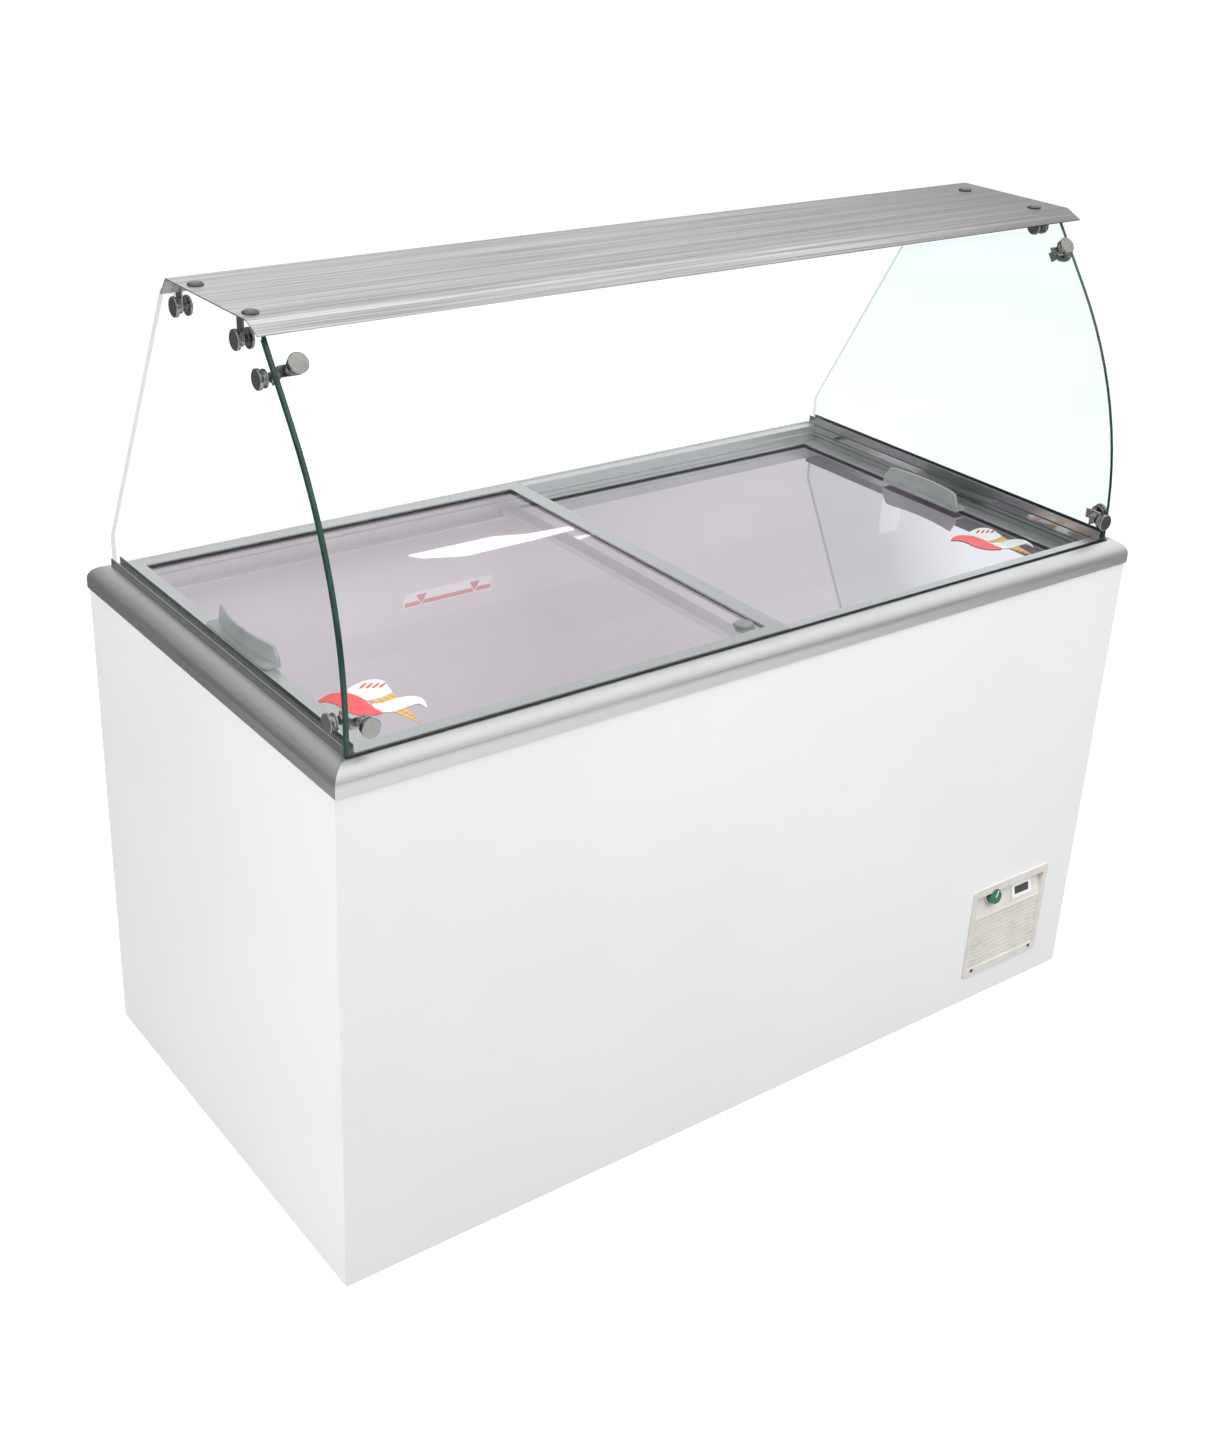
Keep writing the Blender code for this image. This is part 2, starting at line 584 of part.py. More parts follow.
def make_hangers(mats):
    """Straps outside the side glasses, each turned in under the shelf to its cap bolt."""
    chrome = mats["chrome"]
    tab_top = SHELF_TOP_Z - SHELF_SHEET - GAP
    eye_radius = 0.0085
    strap_in = SIDE_GLASS_OUTER_X + 0.0010
    for side, label in ((-1, "left"), (1, "right")):
        for end, y in HANGER_Y.items():
            half = HANGER_WIDTH / 2
            start = math.pi - math.acos(half / eye_radius)
            eye = [(y + eye_radius * math.cos(start + (3 * math.pi - 2 * start) * k / 12),
                    HANGER_Z + eye_radius * math.sin(start + (3 * math.pi - 2 * start) * k / 12))
                   for k in range(13)]
            xs = sorted((side * strap_in, side * (strap_in + STRAP)))
            strap = prism(f"hanger_{end}_{label}", [(y + half, tab_top), (y - half, tab_top), *eye], "x",
                          xs[0], xs[1], chrome)
            cap_y = CAP_Y[end]
            xs = sorted((side * (CAP_X[label] - 0.009), side * (strap_in + STRAP)))
            tab = box("tool", (xs[0], min(y - half, cap_y - 0.006), tab_top - STRAP),
                      (xs[1], max(y + half, cap_y + 0.006), tab_top), chrome)
            fuse(strap, tab)
            cut(strap, cylinder("cutter", CAP_HOLE_RADIUS, -0.01, 0.01,
                                Matrix.Translation((side * CAP_X[label], cap_y, tab_top)), chrome, 16),
                cylinder("cutter", POST_HOLE_RADIUS, -0.01, 0.01,
                         along_axis((side, 0, 0), (side * strap_in, y, HANGER_Z)), chrome, 16))
            cap_radius = 0.0100
            revolve(f"cap_bolt_{end}_{label}",
                    [(0, -0.0042), (CAP_SHANK_RADIUS, -0.0042), (CAP_SHANK_RADIUS, GAP), (cap_radius, GAP),
                     (cap_radius, 0.0014), (cap_radius - 0.0012, 0.0026), (cap_radius * 0.6, 0.0034),
                     (0, 0.0037)], 24, chrome, Matrix.Translation((side * CAP_X[label], cap_y, SHELF_TOP_Z)))


def make_discs(mats, places):
    """Clamp discs: a cap on a neck, with a post that fills the hole through the glass. A hanger's
    post also carries the disc on the glass's inner face."""
    edge = 0.0008
    cap_base = DISC_STAND_OFF - DISC_CAP
    for name, (_, _, point, outward) in places.items():
        on_strap = name.startswith("hanger")
        inner_face = -GLASS - GAP
        inner = [(0, inner_face - 0.0034), (DISC_RADIUS - edge, inner_face - 0.0034),
                 (DISC_RADIUS, inner_face - 0.0034 + edge), (DISC_RADIUS, inner_face), (POST_RADIUS, inner_face)]
        start = inner if on_strap else [(0, -GLASS), (POST_RADIUS, -GLASS)]
        seat = 0.0010 + STRAP + GAP if on_strap else GAP
        pad = [] if on_strap else [(DISC_RADIUS - 0.0015, seat), (DISC_RADIUS - 0.0015, seat + 0.0015)]
        neck_start = seat if on_strap else seat + 0.0015
        profile = [*start, (POST_RADIUS, seat), *pad,
                   (DISC_NECK_RADIUS, neck_start), (DISC_NECK_RADIUS, cap_base),
                   (DISC_RADIUS - edge, cap_base), (DISC_RADIUS, cap_base + edge),
                   (DISC_RADIUS, DISC_STAND_OFF - edge), (DISC_RADIUS - edge, DISC_STAND_OFF),
                   (0, DISC_STAND_OFF)]
        revolve(name, profile, 24, mats["chrome"], along_axis(outward, point))


def make_connectors(mats):
    """Bent straps inside the four canopy corners, each with two stand-offs against the glasses."""
    chrome = mats["chrome"]
    half = CONNECTOR_WIDTH / 2
    for level in CONNECTOR_Z:
        for side, label in ((-1, "left"), (1, "right")):
            frame = connector_frame(level, side)
            outline = [(STAND_OFF, STAND_OFF), (CONNECTOR_FRONT_POST + 0.010, STAND_OFF),
                       (CONNECTOR_FRONT_POST + 0.010, STAND_OFF + STRAP), (STAND_OFF + STRAP, STAND_OFF + STRAP),
                       (STAND_OFF + STRAP, CONNECTOR_SIDE_POST + 0.010), (STAND_OFF, CONNECTOR_SIDE_POST + 0.010)]
            bm = bmesh.new()
            add_prism(bm, outline, "z", -half, half)
            bm.transform(frame)
            strap = add_object(f"connector_{level}_{label}", bm, chrome)
            reach = STAND_OFF + STRAP / 2
            side_peg = cylinder("tool", 0.0062, GAP, reach,
                                frame @ along_axis((1, 0, 0), (0, CONNECTOR_SIDE_POST, 0)), chrome)
            front_peg = cylinder("tool", 0.0062, GAP, reach,
                                 frame @ along_axis((0, 1, 0), (CONNECTOR_FRONT_POST, 0, 0)), chrome)
            fuse(strap, side_peg, front_peg)


# ---- lids ---------------------------------------------------------------------------------------
def make_lid_frame(name, lid, mat):
    """Mitred frame: a flat top flange, a web round the glass's edge and a lip under it."""
    top = lid["top"]
    under = top - FLANGE
    lip_top = top - LID_DEPTH + 0.0013
    bottom = top - LID_DEPTH

    def step(extra):
        return lid["web_left"] + extra, lid["web_right"] + extra, lid["web_y"] + extra

    bars = (lid["bar_left"], lid["bar_right"], lid["bar_y"])
    section = [((0, 0, 0), top), (bars, top), (bars, under), (step(WEB), under), (step(WEB), lip_top),
               (step(WEB + LID_LIP), lip_top), (step(WEB + LID_LIP), bottom), (step(0), bottom),
               (step(0), under), ((0, 0, 0), under)]
    bm = bmesh.new()
    loops = []
    for (left, right, deep), z in section:
        x0, x1, y = lid["x0"] + left, lid["x1"] - right, lid["y"] - deep
        loops.append([bm.verts.new(p) for p in ((x0, -y, z), (x1, -y, z), (x1, y, z), (x0, y, z))])
    count = len(loops)
    for i in range(count):
        a, b = loops[i], loops[(i + 1) % count]
        for k in range(4):
            n = (k + 1) % 4
            bm.faces.new((a[k], a[n], b[n], b[k]))
    return add_object(name, bm, mat)


def make_lid_glass(name, lid, mat):
    edge = WEB + GAP
    top = lid["top"] - GLASS_DROP
    y = lid["y"] - lid["web_y"] - edge
    return box(name, (lid["x0"] + lid["web_left"] + edge, -y, top - LID_GLASS),
               (lid["x1"] - lid["web_right"] - edge, y, top), mat)


def make_handle(name, inner_x, outward, top, mat):
    """Flat base along the lid's end bar, with an upright blade that bows towards the lid's end."""
    z0 = top + GAP
    z1 = z0 + HANDLE_BASE_THICKNESS
    round_off = 0.006
    x_in, x_out = inner_x, inner_x + outward * HANDLE_BASE_WIDTH
    y = HANDLE_HALF_LENGTH
    base = prism(name, [(x_in, -y + 0.001), (x_in + outward * 0.001, -y), (x_out - outward * round_off, -y),
                        (x_out, -y + round_off), (x_out, y - round_off),
                        (x_out - outward * round_off, y), (x_in + outward * 0.001, y), (x_in, y - 0.001)],
                 "z", z0, z1, mat)
    stations = 20
    bm = bmesh.new()
    rows = []
    for k in range(stations + 1):
        t = -1 + 2 * k / stations
        along = t * (HANDLE_HALF_LENGTH - 0.0015)
        bow = HANDLE_BOW * (1 - t * t)
        near = x_in + outward * (0.0008 + bow)
        far = near + outward * HANDLE_BLADE
        end = max(abs(t) - 0.84, 0) / 0.16
        height = HANDLE_HEIGHT - 0.016 * (1 - math.sqrt(max(1 - end * end, 0)))
        low, high = z0 + 0.001, z0 + height
        crown = outward * 0.0012
        rows.append([bm.verts.new(p) for p in (
            (near, along, low), (far, along, low), (far, along, high - 0.0012), (far - crown, along, high),
            (near + crown, along, high), (near, along, high - 0.0012))])
    for a, b in zip(rows, rows[1:]):
        for i in range(6):
            j = (i + 1) % 6
            bm.faces.new((a[i], a[j], b[j], b[i]))
    bm.faces.new(rows[0][::-1])
    bm.faces.new(rows[-1])
    blade = add_object("tool", bm, mat)
    fuse(base, blade)
    base.data.shade_smooth()
    base.data.set_sharp_from_angle(angle=math.radians(35))


def make_lids(mats):
    for label, lid in (("left", LEFT_LID), ("right", RIGHT_LID)):
        make_lid_frame(f"{label}_lid_frame", lid, mats["aluminium"])
        make_lid_glass(f"{label}_lid_glass", lid, mats["glass"])
    make_handle("left_lid_handle", LEFT_HANDLE_INNER_X, -1, LEFT_LID["top"], mats["grey_plastic"])
    make_handle("right_lid_handle", RIGHT_HANDLE_INNER_X, 1, RIGHT_LID["top"], mats["grey_plastic"])

    glass_top = LEFT_LID["top"] - GLASS_DROP + GAP
    lock = revolve("lid_lock", [(0, 0), (LOCK_RADIUS - 0.001, 0), (LOCK_RADIUS, 0.001),
                                (LOCK_RADIUS, 0.0038), (LOCK_RADIUS - 0.0012, 0.005), (0, 0.005)], 28,
                   mats["grey_plastic"])
    tabs = [box("tool", (a, -0.0022, 0.0004), (b, 0.0022, 0.0018), mats["grey_plastic"])
            for a, b in ((LOCK_RADIUS - 0.003, LOCK_RADIUS + 0.0025), (-LOCK_RADIUS - 0.0025, 0.003 - LOCK_RADIUS))]
    fuse(lock, *tabs)
    lock.data.transform(Matrix.Rotation(math.radians(-60), 4, "Z"))
    lock.location = (LOCK_X, LOCK_Y, glass_top)


# ---- control panel ------------------------------------------------------------------------------
def control_face(x, z):
    """Frame on the tilted control face: local +Z stands out of it and local +Y runs up it."""
    y = CONTROL_Y0 + (z - CONTROL_Z0) * math.tan(CONTROL_TILT)
    return Matrix.Translation((x, y, z)) @ Matrix.Rotation(math.pi / 2 - CONTROL_TILT, 4, "X")


def rounded_rectangle(x0, x1, z0, z1, radius, steps=4):
    outline = []
    for cx, cz, start in ((x1 - radius, z1 - radius, 0), (x0 + radius, z1 - radius, 90),
                          (x0 + radius, z0 + radius, 180), (x1 - radius, z0 + radius, 270)):
        for k in range(steps + 1):
            turn = math.radians(start + 90 * k / steps)
            outline.append((cx + radius * math.cos(turn), cz + radius * math.sin(turn)))
    return outline


def make_control_panel(mats):
    cream = mats["cream_plastic"]
    panel = prism("control_panel", rounded_rectangle(PANEL_X0, PANEL_X1, PANEL_Z0, PANEL_Z1, 0.006), "y",
                  PANEL_FRONT_Y, -HALF_Y - GAP, cream)
    plug = box("tool", (CUTOUT_X0 + 0.0005, PANEL_FRONT_Y + 0.001, CUTOUT_Z0 + 0.0005),
               (CUTOUT_X1 - 0.0005, -0.3460, CUTOUT_Z1 - 0.0005), cream)
    tub = box("tool", (CUTOUT_X0 + 0.0008, -0.3470, 0.1520),
              (CUTOUT_X1 - 0.0008, -0.3360, CUTOUT_Z1 - 0.0008), cream)
    fuse(panel, plug, tub)

    louvre_bed = box("cutter", (0.463, -0.360, 0.064), (0.615, -0.3508, CONTROL_Z0), cream)
    wedge = prism("cutter", [(-0.360, CONTROL_Z0 - 0.0002), (CONTROL_Y0, CONTROL_Z0 - 0.0002),
                             (CONTROL_Y0, CONTROL_Z0), (CONTROL_Y1, CONTROL_Z1), (-0.360, CONTROL_Z1)],
                  "x", 0.462, 0.616, cream)
    slots = bmesh.new()
    for k in range(SLOT_COUNT):
        verts = add_box(slots, (0.4645, -0.012, -0.0012), (0.6135, 0.012, 0.0012))
        place = Matrix.Translation((0, -0.3484, SLOT_FIRST_Z + SLOT_PITCH * k)) @ Matrix.Rotation(math.radians(25), 4, "X")
        bmesh.ops.transform(slots, matrix=place, verts=verts)
    cut(panel, louvre_bed, wedge, add_object("cutter", slots, cream))

    knob_face = control_face(KNOB_X, KNOB_Z)
    fuse(panel, cylinder("tool", 0.0155, -0.002, 0.003, knob_face, cream, 28))
    cut(panel, cylinder("cutter", KNOB_RADIUS + 0.0005, 0.0004, 0.016, knob_face, cream, 28))
    gauge_face = control_face(THERMOMETER_X, THERMOMETER_Z)
    gauge_hole = box("cutter", (-0.0202, -0.0112, -0.030), (0.0202, 0.0112, 0.010), cream)
    gauge_hole.matrix_world = gauge_face
    screws = [cylinder("cutter", 0.0022, -0.004, 0.012, along_axis((0, 1, 0), (x, PANEL_FRONT_Y, z)), cream, 12)
              for x, z in ((0.472, 0.0600), (0.608, 0.0600))]
    cut(panel, cylinder("cutter", 0.0035, -0.030, 0.010, knob_face, cream, 16), gauge_hole, *screws)

    knob = revolve("thermostat_knob",
                   [(0, -0.011), (0.003, -0.011), (0.003, 0.0008), (KNOB_RADIUS, 0.0008),
                    (KNOB_RADIUS, KNOB_HEIGHT - 0.001), (KNOB_RADIUS - 0.001, KNOB_HEIGHT), (0, KNOB_HEIGHT)],
                   28, mats["green_plastic"])
    knob.matrix_world = knob_face

    bezel = box("thermometer", (-0.023, -0.013, GAP), (0.023, 0.013, 0.0022), mats["cream_plastic"])
    fuse(bezel, box("tool", (-0.0198, -0.0108, -0.012), (0.0198, 0.0108, 0.001), cream))
    cut(bezel, box("cutter", (-0.0165, -0.0070, 0.0012), (0.0165, 0.0070, 0.010), cream))
    bezel.data.transform(gauge_face)


# ---- compressor bay -----------------------------------------------------------------------------
def make_machinery(mats):
    floor = BASE_Z + BASE_THICKNESS + GAP
    black, zinc = mats["black_paint"], mats["zinc_steel"]

    shell = [(0, 0.034), (0.066, 0.034), (0.080, 0.048), (0.082, 0.092), (0.086, 0.094), (0.086, 0.100),
             (0.082, 0.102), (0.080, 0.140), (0.064, 0.168), (0.030, 0.180), (0, 0.182)]
    compressor = revolve("compressor", shell, 24, black, Matrix.Translation((COMPRESSOR_X, COMPRESSOR_Y, 0)))
    plate = box("tool", (COMPRESSOR_X - 0.095, COMPRESSOR_Y - 0.060, 0.030),
                (COMPRESSOR_X + 0.095, COMPRESSOR_Y + 0.060, 0.036), black)
    mounts = [cylinder("tool", 0.012, floor, 0.032, Matrix.Translation((COMPRESSOR_X + dx, COMPRESSOR_Y + dy, 0)),
                       black, 12) for dx in (-0.080, 0.080) for dy in (-0.045, 0.045)]
    fuse(compressor, plate, *mounts)

    fins = 14
    x0, pitch, fin = 0.4200, 0.0150, 0.0030
    comb = [(x0, -0.292)]
    for k in range(fins):
        a = x0 + pitch * k
        comb += [(a, -0.318), (a + fin, -0.318), (a + fin, -0.298), (a + pitch, -0.298)]
    x_end = x0 + pitch * fins
    comb += [(x_end, -0.318), (x_end + fin, -0.318), (x_end + fin, -0.292)]
    prism("condenser", comb, "z", floor, 0.150, zinc)

    motor_y0, motor_y1 = -0.250, -0.200
    axis = along_axis((0, -1, 0), (FAN_X, 0, FAN_Z))
    motor = revolve("fan_motor", [(0, -motor_y1 - 0.0), (0.024, -motor_y1), (0.030, -motor_y1 + 0.006),
                                  (0.030, -motor_y0 - 0.006), (0.024, -motor_y0), (0.004, -motor_y0),
                                  (0.004, 0.2597), (0, 0.2597)], 20, black, axis)
    stand = box("tool", (FAN_X - 0.012, -0.233, floor), (FAN_X + 0.012, -0.217, FAN_Z - 0.020), zinc)
    foot = box("tool", (FAN_X - 0.030, -0.245, floor), (FAN_X + 0.030, -0.205, floor + 0.003), zinc)
    fuse(motor, stand, foot)

    hub = revolve("fan_blade", [(0, 0.260), (0.018, 0.260), (0.018, 0.276), (0.012, 0.280), (0, 0.280)], 20,
                  mats["grey_plastic"], axis)
    blades = []
    for k in range(5):
        bm = bmesh.new()
        add_box(bm, (0.012, -0.016, -0.0009), (FAN_RADIUS, 0.016, 0.0009))
        bm.transform(Matrix.Rotation(math.radians(25), 4, "X"))
        bm.transform(Matrix.Rotation(2 * math.pi * k / 5, 4, "Z"))
        bm.transform(Matrix.Translation((0, 0, 0.269)))
        bm.transform(axis)
        blades.append(add_object("tool", bm, mats["grey_plastic"]))
    fuse(hub, *blades)
    set_origin(hub, (FAN_X, -0.269, FAN_Z))


def main():
    for obj in list(bpy.data.objects):
        bpy.data.objects.remove(obj)
    mats = make_materials()
    places = post_places()
    make_casing(mats)
    make_base(mats)
    make_insulation(mats)
    make_liner(mats)
    make_rim(mats)
    make_channels(mats)
    make_glasses(mats, places)
    make_shelf(mats)
    make_hangers(mats)
    make_discs(mats, places)
    make_connectors(mats)
    make_lids(mats)
    make_control_panel(mats)
    make_machinery(mats)


main()
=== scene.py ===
"""Looks of the ice-cream display freezer: materials, small trim, studio light and camera.

Frame: metres, +Z up, +X to the customer's right, the customer at -Y, origin on the floor under the cabinet.
"""

import json
import math

import bmesh
import bpy
from mathutils import Matrix, Vector


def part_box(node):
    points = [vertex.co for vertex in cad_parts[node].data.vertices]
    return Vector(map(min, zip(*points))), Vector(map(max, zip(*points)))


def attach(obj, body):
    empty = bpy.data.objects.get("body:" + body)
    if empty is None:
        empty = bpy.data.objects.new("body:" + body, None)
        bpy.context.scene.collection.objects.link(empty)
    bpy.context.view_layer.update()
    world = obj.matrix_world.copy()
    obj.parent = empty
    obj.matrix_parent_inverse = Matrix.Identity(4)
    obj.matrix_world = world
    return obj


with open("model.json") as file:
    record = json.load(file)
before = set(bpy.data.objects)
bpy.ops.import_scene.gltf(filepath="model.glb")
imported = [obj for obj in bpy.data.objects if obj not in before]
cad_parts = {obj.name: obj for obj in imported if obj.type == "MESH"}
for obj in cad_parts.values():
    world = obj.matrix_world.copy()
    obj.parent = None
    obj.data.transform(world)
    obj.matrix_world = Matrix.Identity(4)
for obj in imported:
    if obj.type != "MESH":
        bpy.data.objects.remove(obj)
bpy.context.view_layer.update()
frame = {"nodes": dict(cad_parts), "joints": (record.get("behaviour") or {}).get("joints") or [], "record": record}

NODES = frame["nodes"]


# ---- places taken from the frame ----------------------------------------------------------------
def low(node):
    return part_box(node)[0]


def high(node):
    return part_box(node)[1]


LEFT_GLASS_TOP = high("left_lid_glass").z
RIGHT_GLASS_TOP = high("right_lid_glass").z
LINER_REAR_Y = high("tank_liner").y - 0.010

# ---- sizes of the small trim, in metres ---------------------------------------------------------
FILM = 0.0001                       # step between the layers of a printed film
SEAL_LIP = 0.0006                   # how far a lid's seal reaches outside its opening
SEAL_WIDTH = 0.0011
SEAL_HEIGHT = 0.0012
KNOB_HEIGHT = 0.0125                # from the control face to the knob's front
THERMOMETER_X = 0.573
WINDOW_HALF_LENGTH, WINDOW_HALF_HEIGHT = 0.0160, 0.0066
SCREW_X = {"left": 0.472, "right": 0.608}
SCREW_Z = 0.0600
LABEL_X0, LABEL_X1 = -0.211, -0.049
LABEL_Z0, LABEL_Z1 = 0.6130, 0.6370
TRIANGLE_INSET = 0.032              # from the label's end to a triangle's tip


# ---- node-tree helpers --------------------------------------------------------------------------
class Shader:
    """A material with one Principled shader and short calls for the nodes that feed it."""

    def __init__(self, name, colour, roughness, metallic=0.0):
        self.material = bpy.data.materials.new(name)
        self.material.use_nodes = True
        self.tree = self.material.node_tree
        self.principled = self.tree.nodes["Principled BSDF"]
        self.output = self.tree.nodes["Material Output"]
        self.set("Base Color", (*colour, 1.0))
        self.set("Roughness", roughness)
        self.set("Metallic", metallic)

    def set(self, socket, value):
        self.principled.inputs[socket].default_value = value

    def node(self, kind, **settings):
        made = self.tree.nodes.new(kind)
        for key, value in settings.items():
            setattr(made, key, value)
        return made

    def link(self, source, target):
        self.tree.links.new(source, target)

    def place(self, scale=(1, 1, 1), rotation=(0, 0, 0), coordinates="Object"):
        """Coordinates on the object, in metres, stretched along each axis."""
        source = self.node("ShaderNodeTexCoord")
        mapping = self.node("ShaderNodeMapping")
        mapping.inputs["Scale"].default_value = scale
        mapping.inputs["Rotation"].default_value = rotation
        self.link(source.outputs[coordinates], mapping.inputs["Vector"])
        return mapping.outputs["Vector"]

    def noise(self, scale, detail=4.0, stretch=(1, 1, 1), distortion=0.0):
        texture = self.node("ShaderNodeTexNoise")
        texture.inputs["Scale"].default_value = scale
        texture.inputs["Detail"].default_value = detail
        texture.inputs["Distortion"].default_value = distortion
        self.link(self.place(stretch), texture.inputs["Vector"])
        return texture.outputs["Fac"]

    def spread(self, value, low_value, high_value, start=0.3, end=0.7):
        """Map a 0-1 pattern to a range of values."""
        node = self.node("ShaderNodeMapRange")
        node.inputs["From Min"].default_value = start
        node.inputs["From Max"].default_value = end
        node.inputs["To Min"].default_value = low_value
        node.inputs["To Max"].default_value = high_value
        self.link(value, node.inputs["Value"])
        return node.outputs["Result"]

    def colours(self, value, *stops):
        """Colours along a 0-1 pattern; each stop is (position, colour)."""
        ramp = self.node("ShaderNodeValToRGB")
        ramp.color_ramp.elements[0].position = stops[0][0]
        ramp.color_ramp.elements[0].color = (*stops[0][1], 1)
        ramp.color_ramp.elements[1].position = stops[-1][0]
        ramp.color_ramp.elements[1].color = (*stops[-1][1], 1)
        for position, colour in stops[1:-1]:
            ramp.color_ramp.elements.new(position).color = (*colour, 1)
        self.link(value, ramp.inputs["Fac"])
        return ramp.outputs["Color"]

    def bump(self, value, strength, distance=0.001):
        node = self.node("ShaderNodeBump")
        node.inputs["Strength"].default_value = strength
        node.inputs["Distance"].default_value = distance
        self.link(value, node.inputs["Height"])
        self.link(node.outputs["Normal"], self.principled.inputs["Normal"])

    def math(self, operation, a, b=None):
        node = self.node("ShaderNodeMath", operation=operation)
        for socket, value in zip(node.inputs, (a, b)):
            if isinstance(value, (int, float)):
                socket.default_value = value
            elif value is not None:
                self.link(value, socket)
        return node.outputs[0]

    def along(self, axis, start, end, coordinates="Object"):
        """0 to 1 between two places along an axis of the object or world."""
        source = self.node("ShaderNodeTexCoord")
        split = self.node("ShaderNodeSeparateXYZ")
        self.link(source.outputs[coordinates], split.inputs["Vector"])
        return self.spread(split.outputs[axis], 0.0, 1.0, start, end)

    def facing(self, axis, least):
        """1 where the object's own surface normal leans along an axis by at least this much."""
        source = self.node("ShaderNodeTexCoord")
        split = self.node("ShaderNodeSeparateXYZ")
        self.link(source.outputs["Normal"], split.inputs["Vector"])
        return self.math("GREATER_THAN", self.math("ABSOLUTE", split.outputs[axis]), least)


# ---- materials ----------------------------------------------------------------------------------
def white_enamel():
    s = Shader("white_enamel", (0.80, 0.81, 0.81), 0.32)
    tone = s.noise(3.0, 3.0)
    s.link(s.colours(tone, (0.3, (0.845, 0.860, 0.856)), (0.7, (0.870, 0.882, 0.878))),
           s.principled.inputs["Base Color"])
    s.link(s.spread(s.noise(40.0, 3.0), 0.28, 0.38), s.principled.inputs["Roughness"])
    s.set("Coat Weight", 0.25)
    s.set("Coat Roughness", 0.12)
    s.bump(s.noise(700.0, 2.0), 0.05, 0.0002)
    return s.material


def drawn_metal(name, colour, roughness, stretch, contrast, relief=0.04, scale=260.0):
    """Metal with fine lines: the pattern's scale is small along the lines and large across them."""
    s = Shader(name, colour, roughness, 1.0)
    lines = s.noise(scale, 5.0, stretch)
    cloud = s.noise(9.0, 3.0)
    mixed = s.math("ADD", s.math("MULTIPLY", lines, 0.6), s.math("MULTIPLY", cloud, 0.4))
    dark = tuple(c * (1 - contrast) for c in colour)
    light = tuple(min(c * (1 + contrast), 1.0) for c in colour)
    s.link(s.colours(mixed, (0.30, dark), (0.70, light)), s.principled.inputs["Base Color"])
    s.link(s.spread(lines, roughness * 0.9, roughness * 1.12), s.principled.inputs["Roughness"])
    s.bump(lines, relief, 0.0001)
    return s.material


def brushed_shelf():
    """Stainless sheet brushed along its length, with painted shade darkening it towards the right end."""
    s = Shader("brushed_stainless", (0.64, 0.632, 0.632), 0.34, 1.0)
    hair = s.noise(520.0, 6.0, (0.006, 1, 1))
    bands = s.noise(120.0, 4.0, (0.010, 1, 1))
    mixed = s.math("ADD", s.math("MULTIPLY", hair, 0.6), s.math("MULTIPLY", bands, 0.4))
    tone = s.colours(mixed, (0.38, (0.46, 0.45, 0.45)), (0.62, (0.93, 0.92, 0.92)))
    # painted shade: the brushed colour is multiplied darker from the middle to the right end of the shelf
    painted_shade_right = s.node("ShaderNodeMix", data_type="RGBA", blend_type="MULTIPLY")
    painted_shade_right.inputs["B"].default_value = (0.50, 0.49, 0.495, 1)
    s.link(s.along("X", 0.10, 0.62), painted_shade_right.inputs["Factor"])
    s.link(tone, painted_shade_right.inputs["A"])
    s.link(painted_shade_right.outputs["Result"], s.principled.inputs["Base Color"])
    s.link(s.spread(hair, 0.30, 0.40), s.principled.inputs["Roughness"])
    s.bump(hair, 0.06, 0.0002)
    return s.material


def chrome(name, colour, roughness):
    """Turned and polished steel."""
    s = Shader(name, colour, roughness, 1.0)
    dark = tuple(c * 0.88 for c in colour)
    light = tuple(c * 1.12 for c in colour)
    s.link(s.colours(s.noise(60.0, 4.0), (0.3, dark), (0.7, light)), s.principled.inputs["Base Color"])
    s.link(s.spread(s.noise(180.0, 3.0), roughness * 0.7, roughness * 1.5), s.principled.inputs["Roughness"])
    return s.material


def pane(name, tint, sheen, mirror, edge_mask):
    """Clear flat glass that lets light through; the mask picks the dark green polished edges."""
    s = Shader(name, (0.0, 0.055, 0.030), 0.35)
    s.link(s.colours(s.noise(45.0, 3.0), (0.3, (0.0, 0.018, 0.010)), (0.7, (0.0, 0.055, 0.032))),
           s.principled.inputs["Base Color"])
    s.set("Coat Weight", 0.15)
    clear = s.node("ShaderNodeBsdfTransparent")
    clear.inputs["Color"].default_value = (*tint, 1)
    shine = s.node("ShaderNodeBsdfGlossy")
    shine.inputs["Roughness"].default_value = 0.015
    shine.inputs["Color"].default_value = (*sheen, 1)
    fresnel = s.node("ShaderNodeFresnel")
    fresnel.inputs["IOR"].default_value = 1.5
    back = s.node("ShaderNodeNewGeometry").outputs["Backfacing"]
    outside = s.math("SUBTRACT", 1.0, back)
    smudge = s.spread(s.noise(5.0, 4.0, distortion=0.8), mirror * 0.93, mirror * 1.05 + 0.001)
    share = s.math("MULTIPLY", s.math("ADD", fresnel.outputs["Fac"], smudge), outside)
    face = s.node("ShaderNodeMixShader")
    s.link(share, face.inputs["Fac"])
    s.link(clear.outputs["BSDF"], face.inputs[1])
    s.link(shine.outputs["BSDF"], face.inputs[2])
    whole = s.node("ShaderNodeMixShader")
    s.link(edge_mask(s, outside), whole.inputs["Fac"])
    s.link(face.outputs["Shader"], whole.inputs[1])
    s.link(s.principled.outputs["BSDF"], whole.inputs[2])
    s.link(whole.outputs["Shader"], s.output.inputs["Surface"])
    return s.material


def bent_pane_edges(s, outside):
    """Ends and long edges of the bent front glass."""
    return s.math("MULTIPLY", outside, s.math("MAXIMUM", s.facing("X", 0.5), s.facing("Z", 0.7)))


def upright_pane_edges(s, outside):
    """Front edge of a side glass; its rear edges stay nearly clear."""
    rear = s.along("Y", -0.12, -0.08)
    shown = s.math("MULTIPLY", s.math("MAXIMUM", outside, rear), s.spread(rear, 1.0, 0.30, 0.0, 1.0))
    return s.math("MULTIPLY", shown, s.math("SUBTRACT", 1.0, s.facing("X", 0.5)))


